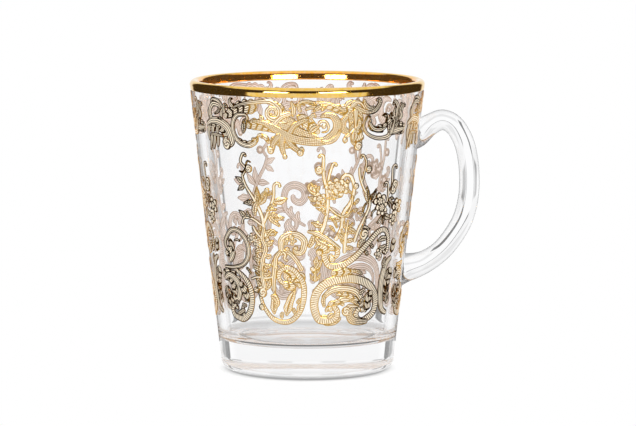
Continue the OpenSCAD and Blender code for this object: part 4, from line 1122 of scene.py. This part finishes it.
def floor_disc():
    m, nt, bsdf = node_material("floor_look", {"Base Color": (0.95, 0.95, 0.95), "Roughness": 0.9,
                                               "Specular IOR Level": 0.0})
    coord = add(nt, "ShaderNodeTexCoord")
    light = add(nt, "ShaderNodeLightPath")

    def distance(y):
        """Distance from the axis, moved by y mm, as a share of the floor's radius."""
        inputs = {0: coord.outputs["Object"], 1: (0, y * MM, 0)}
        moved = add(nt, "ShaderNodeVectorMath", inputs, operation="ADD")
        length = add(nt, "ShaderNodeVectorMath", {0: moved.outputs["Vector"]}, operation="LENGTH")
        return math_node(nt, "MULTIPLY", length.outputs["Value"], 1 / (FLOOR_R * MM))

    def soft_shadow(stops, away):
        return ramp(nt, away, [(r / FLOOR_R, (v, v, v)) for r, v in stops])

    ahead = distance(SHADOW_AHEAD)
    seen = mixed(nt, "RGBA", light.outputs["Is Transmission Ray"], soft_shadow(CONTACT_SHADOW, ahead),
                 soft_shadow(GLASS_SHADOW, distance(0)))
    glow = add(nt, "ShaderNodeEmission", {"Color": seen})
    a, b, c, d = [r / FLOOR_R for r in SHADOW_RING]
    ring = math_node(nt, "MULTIPLY", smooth_range(nt, ahead, a, b), smooth_range(nt, ahead, c, d, 1.0, 0.0))
    glowing = math_node(nt, "SUBTRACT", 1.0, math_node(nt, "MULTIPLY", ring, SHADOW_SHARE))
    mix = add(nt, "ShaderNodeMixShader",
              {"Fac": glowing, 1: bsdf.outputs["BSDF"], 2: glow.outputs["Emission"]})
    fill(nt, nt.nodes["Material Output"], {"Surface": mix.outputs["Shader"]})
    th = turns(FLOOR_SIDES)
    verts = [np.c_[r * np.cos(th), r * np.sin(th), np.full(FLOOR_SIDES, FLOOR_Z)] for r in FLOOR_RINGS]
    faces = [tuple(range(FLOOR_SIDES))]
    faces += [f[::-1] for f in tube_faces(len(FLOOR_RINGS), FLOOR_SIDES)]
    return mesh_from("floor", np.vstack(verts), faces, [m])


floor_disc()

# The room that the cup mirrors and refracts, in degrees: side is the angle from straight behind the
# cup, and height the angle above the horizon.
# Two soft windows beside the camera, by the angle from it, and how much brighter than white they are
WINDOW_LIGHT = 20.0
WINDOWS = [(-42, -20), (12, 38)]
WINDOW_HEIGHT = (-3, 13)
WINDOW_SOFT = 1.5
TABLE_HEIGHT = (-13.0, -9.0)
TABLE_SPREAD = (58.0, 66.0)
CEILING_HEIGHT = (38.0, 52.0)
BACKDROP_SIDE = (22.0, 34.0)
BACKDROP_HEIGHT = (-20, 45, 8.0)
# The pale room that smooth glass mirrors: side from and to, and its levels there
PALE_ROOM = (12.0, 62.0, 0.12, 0.92)
DARK_ROOM = 0.025
DARK_ROOM_TONE = (1.0, 0.48, 0.16)
# Dark seams seen through the glass at all heights: side from, to and softness, and how dark
SEAMS = [(52, 57, 1.5, 1.0), (60, 97, 3.0, 0.3), (98, 128, 4.0, 0.8)]
# Dark patches seen through it: side from, to and softness, height from, to and softness, and how dark.
# In turn they draw the inner walls, the bars in the base, edges, ribs, the foot, its sides and its ticks.
PATCHES = [
    (9.6, 10.7, 0.35, -9.0, -4.5, 0.8, 0.8), (15, 30, 2.5, -12.5, -7.5, 1.0, 0.2),
    (8.3, 12.3, 0.5, -20, -8.4, 0.5, 0.85),
    (12.4, 21, 0.8, -8.8, -4.3, 0.5, 0.5), (6, 18, 1.5, 0.8, 9, 0.6, 0.28),
    (-9, 7.5, 1.5, -4.1, -3.4, 0.2, 1.0), (-9, 6.5, 1.5, -19, -13.5, 1.0, 0.3),
    (-9, 45, 5.0, -4.0, 1.5, 0.4, 0.17),
    (50.5, 59.5, 1.2, -4.4, 2, 0.5, 1.0), (60, 97, 1.5, -4.4, 2, 0.5, 0.5),
    (37, 50, 2.0, 3.5, 9, 0.8, 0.6)]
SEAM_LEVEL = 0.14
UP_LEVEL = 0.66
# light that reaches a film through the walls makes up for what their faces turn back
THROUGH_GLASS = 0.3


def studio_world():
    """White light, and for each kind of ray the room that it meets."""
    world = bpy.data.worlds.new("studio")
    world.use_nodes = True
    nt = world.node_tree
    nt.nodes.clear()
    back = add(nt, "ShaderNodeBackground")
    add(nt, "ShaderNodeOutputWorld", {"Surface": back.outputs["Background"]})
    coord = add(nt, "ShaderNodeTexCoord")
    x, y, z = add(nt, "ShaderNodeSeparateXYZ", {"Vector": coord.outputs["Generated"]}).outputs
    light = add(nt, "ShaderNodeLightPath").outputs
    glossy, through, sharp = [light[f"Is {kind} Ray"] for kind in ("Glossy", "Transmission", "Singular")]

    def times(a, b):
        return math_node(nt, "MULTIPLY", a, b)

    def plus(a, b):
        return math_node(nt, "ADD", a, b, clamp=True)

    def rising(value, lo, hi, a=0.0, b=1.0):
        return smooth_range(nt, value, lo, hi, a, b)

    def falling(value, lo, hi):
        return rising(value, lo, hi, 1.0, 0.0)

    def window(value, lo, hi, soft):
        return times(rising(value, lo - soft, lo + soft), falling(value, hi - soft, hi + soft))

    def from_y(a):
        return times(math_node(nt, "ARCTAN2", x, a), 180 / math.pi)

    def choose(a, b, factor):
        return mixed(nt, "FLOAT", factor, a, b)

    front = from_y(times(y, -1.0))
    side = math_node(nt, "ABSOLUTE", from_y(y))
    height = times(math_node(nt, "ARCSINE", z), 180 / math.pi)

    # what gold mirrors: white table and ceiling, a dark room between them with two soft windows beside
    # the camera, and the white backdrop behind the cup
    table = times(falling(height, *TABLE_HEIGHT), falling(math_node(nt, "ABSOLUTE", front), *TABLE_SPREAD))
    ceiling = rising(height, *CEILING_HEIGHT)
    windows = plus(*[window(front, lo, hi, WINDOW_SOFT) for lo, hi in WINDOWS])
    windows = times(windows, window(height, *WINDOW_HEIGHT, WINDOW_SOFT))
    drop = times(falling(side, *BACKDROP_SIDE), window(height, *BACKDROP_HEIGHT))
    room = rising(plus(plus(table, ceiling), drop), 0.0, 1.0, DARK_ROOM, 1.0)
    room = math_node(nt, "ADD", room, times(windows, WINDOW_LIGHT))
    # what is seen through the glass: white, with narrow dark seams that draw its edges
    dark = 0.0
    for lo, hi, soft, share in SEAMS:
        dark = plus(dark, times(window(side, lo, hi, soft), share))
    for lo, hi, soft, low, high, soft_height, share in PATCHES:
        patch = times(window(side, lo, hi, soft), window(height, low, high, soft_height))
        dark = plus(dark, times(patch, share))
    seen = rising(times(dark, falling(height, 35.0, 60.0)), 0.0, 1.0, 1.0, SEAM_LEVEL)
    seen = times(seen, rising(height, -2.0, 45.0, 1.0, UP_LEVEL))
    # smooth glass mirrors a pale room, darker behind it, which draws its outline
    pale = rising(side, *PALE_ROOM)

    value = choose(1.0, room, glossy)
    value = choose(value, pale, times(glossy, sharp))
    value = choose(value, seen, through)
    value = choose(value, 1.0, light["Is Camera Ray"])
    lit = math_node(nt, "ADD", 1.0, times(through, THROUGH_GLASS))
    value = choose(value, lit, math_node(nt, "GREATER_THAN", light["Diffuse Depth"], 0.5))
    # the dark room that satin and polished gold mirror is brown
    satin = math_node(nt, "SUBTRACT", 1.0, plus(through, sharp))
    brown = times(times(falling(room, DARK_ROOM, 0.5), glossy), satin)
    fill(nt, back, {"Strength": value, "Color": mixed(nt, "RGBA", brown, (1, 1, 1), DARK_ROOM_TONE)})
    return world


scene = bpy.context.scene
scene.world = studio_world()
scene.world.cycles.sampling_method = "NONE"
scene.view_settings.view_transform = "Standard"
# light passes many faces of glass before it leaves the cup
BOUNCES = 64
scene.cycles.max_bounces = BOUNCES
scene.cycles.transmission_bounces = BOUNCES
scene.cycles.glossy_bounces = BOUNCES
scene.cycles.blur_glossy = 0

CAMERA_AT = (3.66, -1100.0, 184.56)
CAMERA_PITCH = 0.119
FOCAL_PX = 3228.4
FRAME_W = 636
SENSOR = 36.0
camera_data = bpy.data.cameras.new("camera")
camera_data.sensor_width = SENSOR
camera_data.lens = FOCAL_PX / FRAME_W * SENSOR
camera_data.clip_start = 0.01
camera_data.clip_end = 100
camera = bpy.data.objects.new("camera", camera_data)
camera.location = Vector(CAMERA_AT) * MM
camera.rotation_euler = (math.pi / 2 - CAMERA_PITCH, 0, 0)
scene.collection.objects.link(camera)
scene.camera = camera
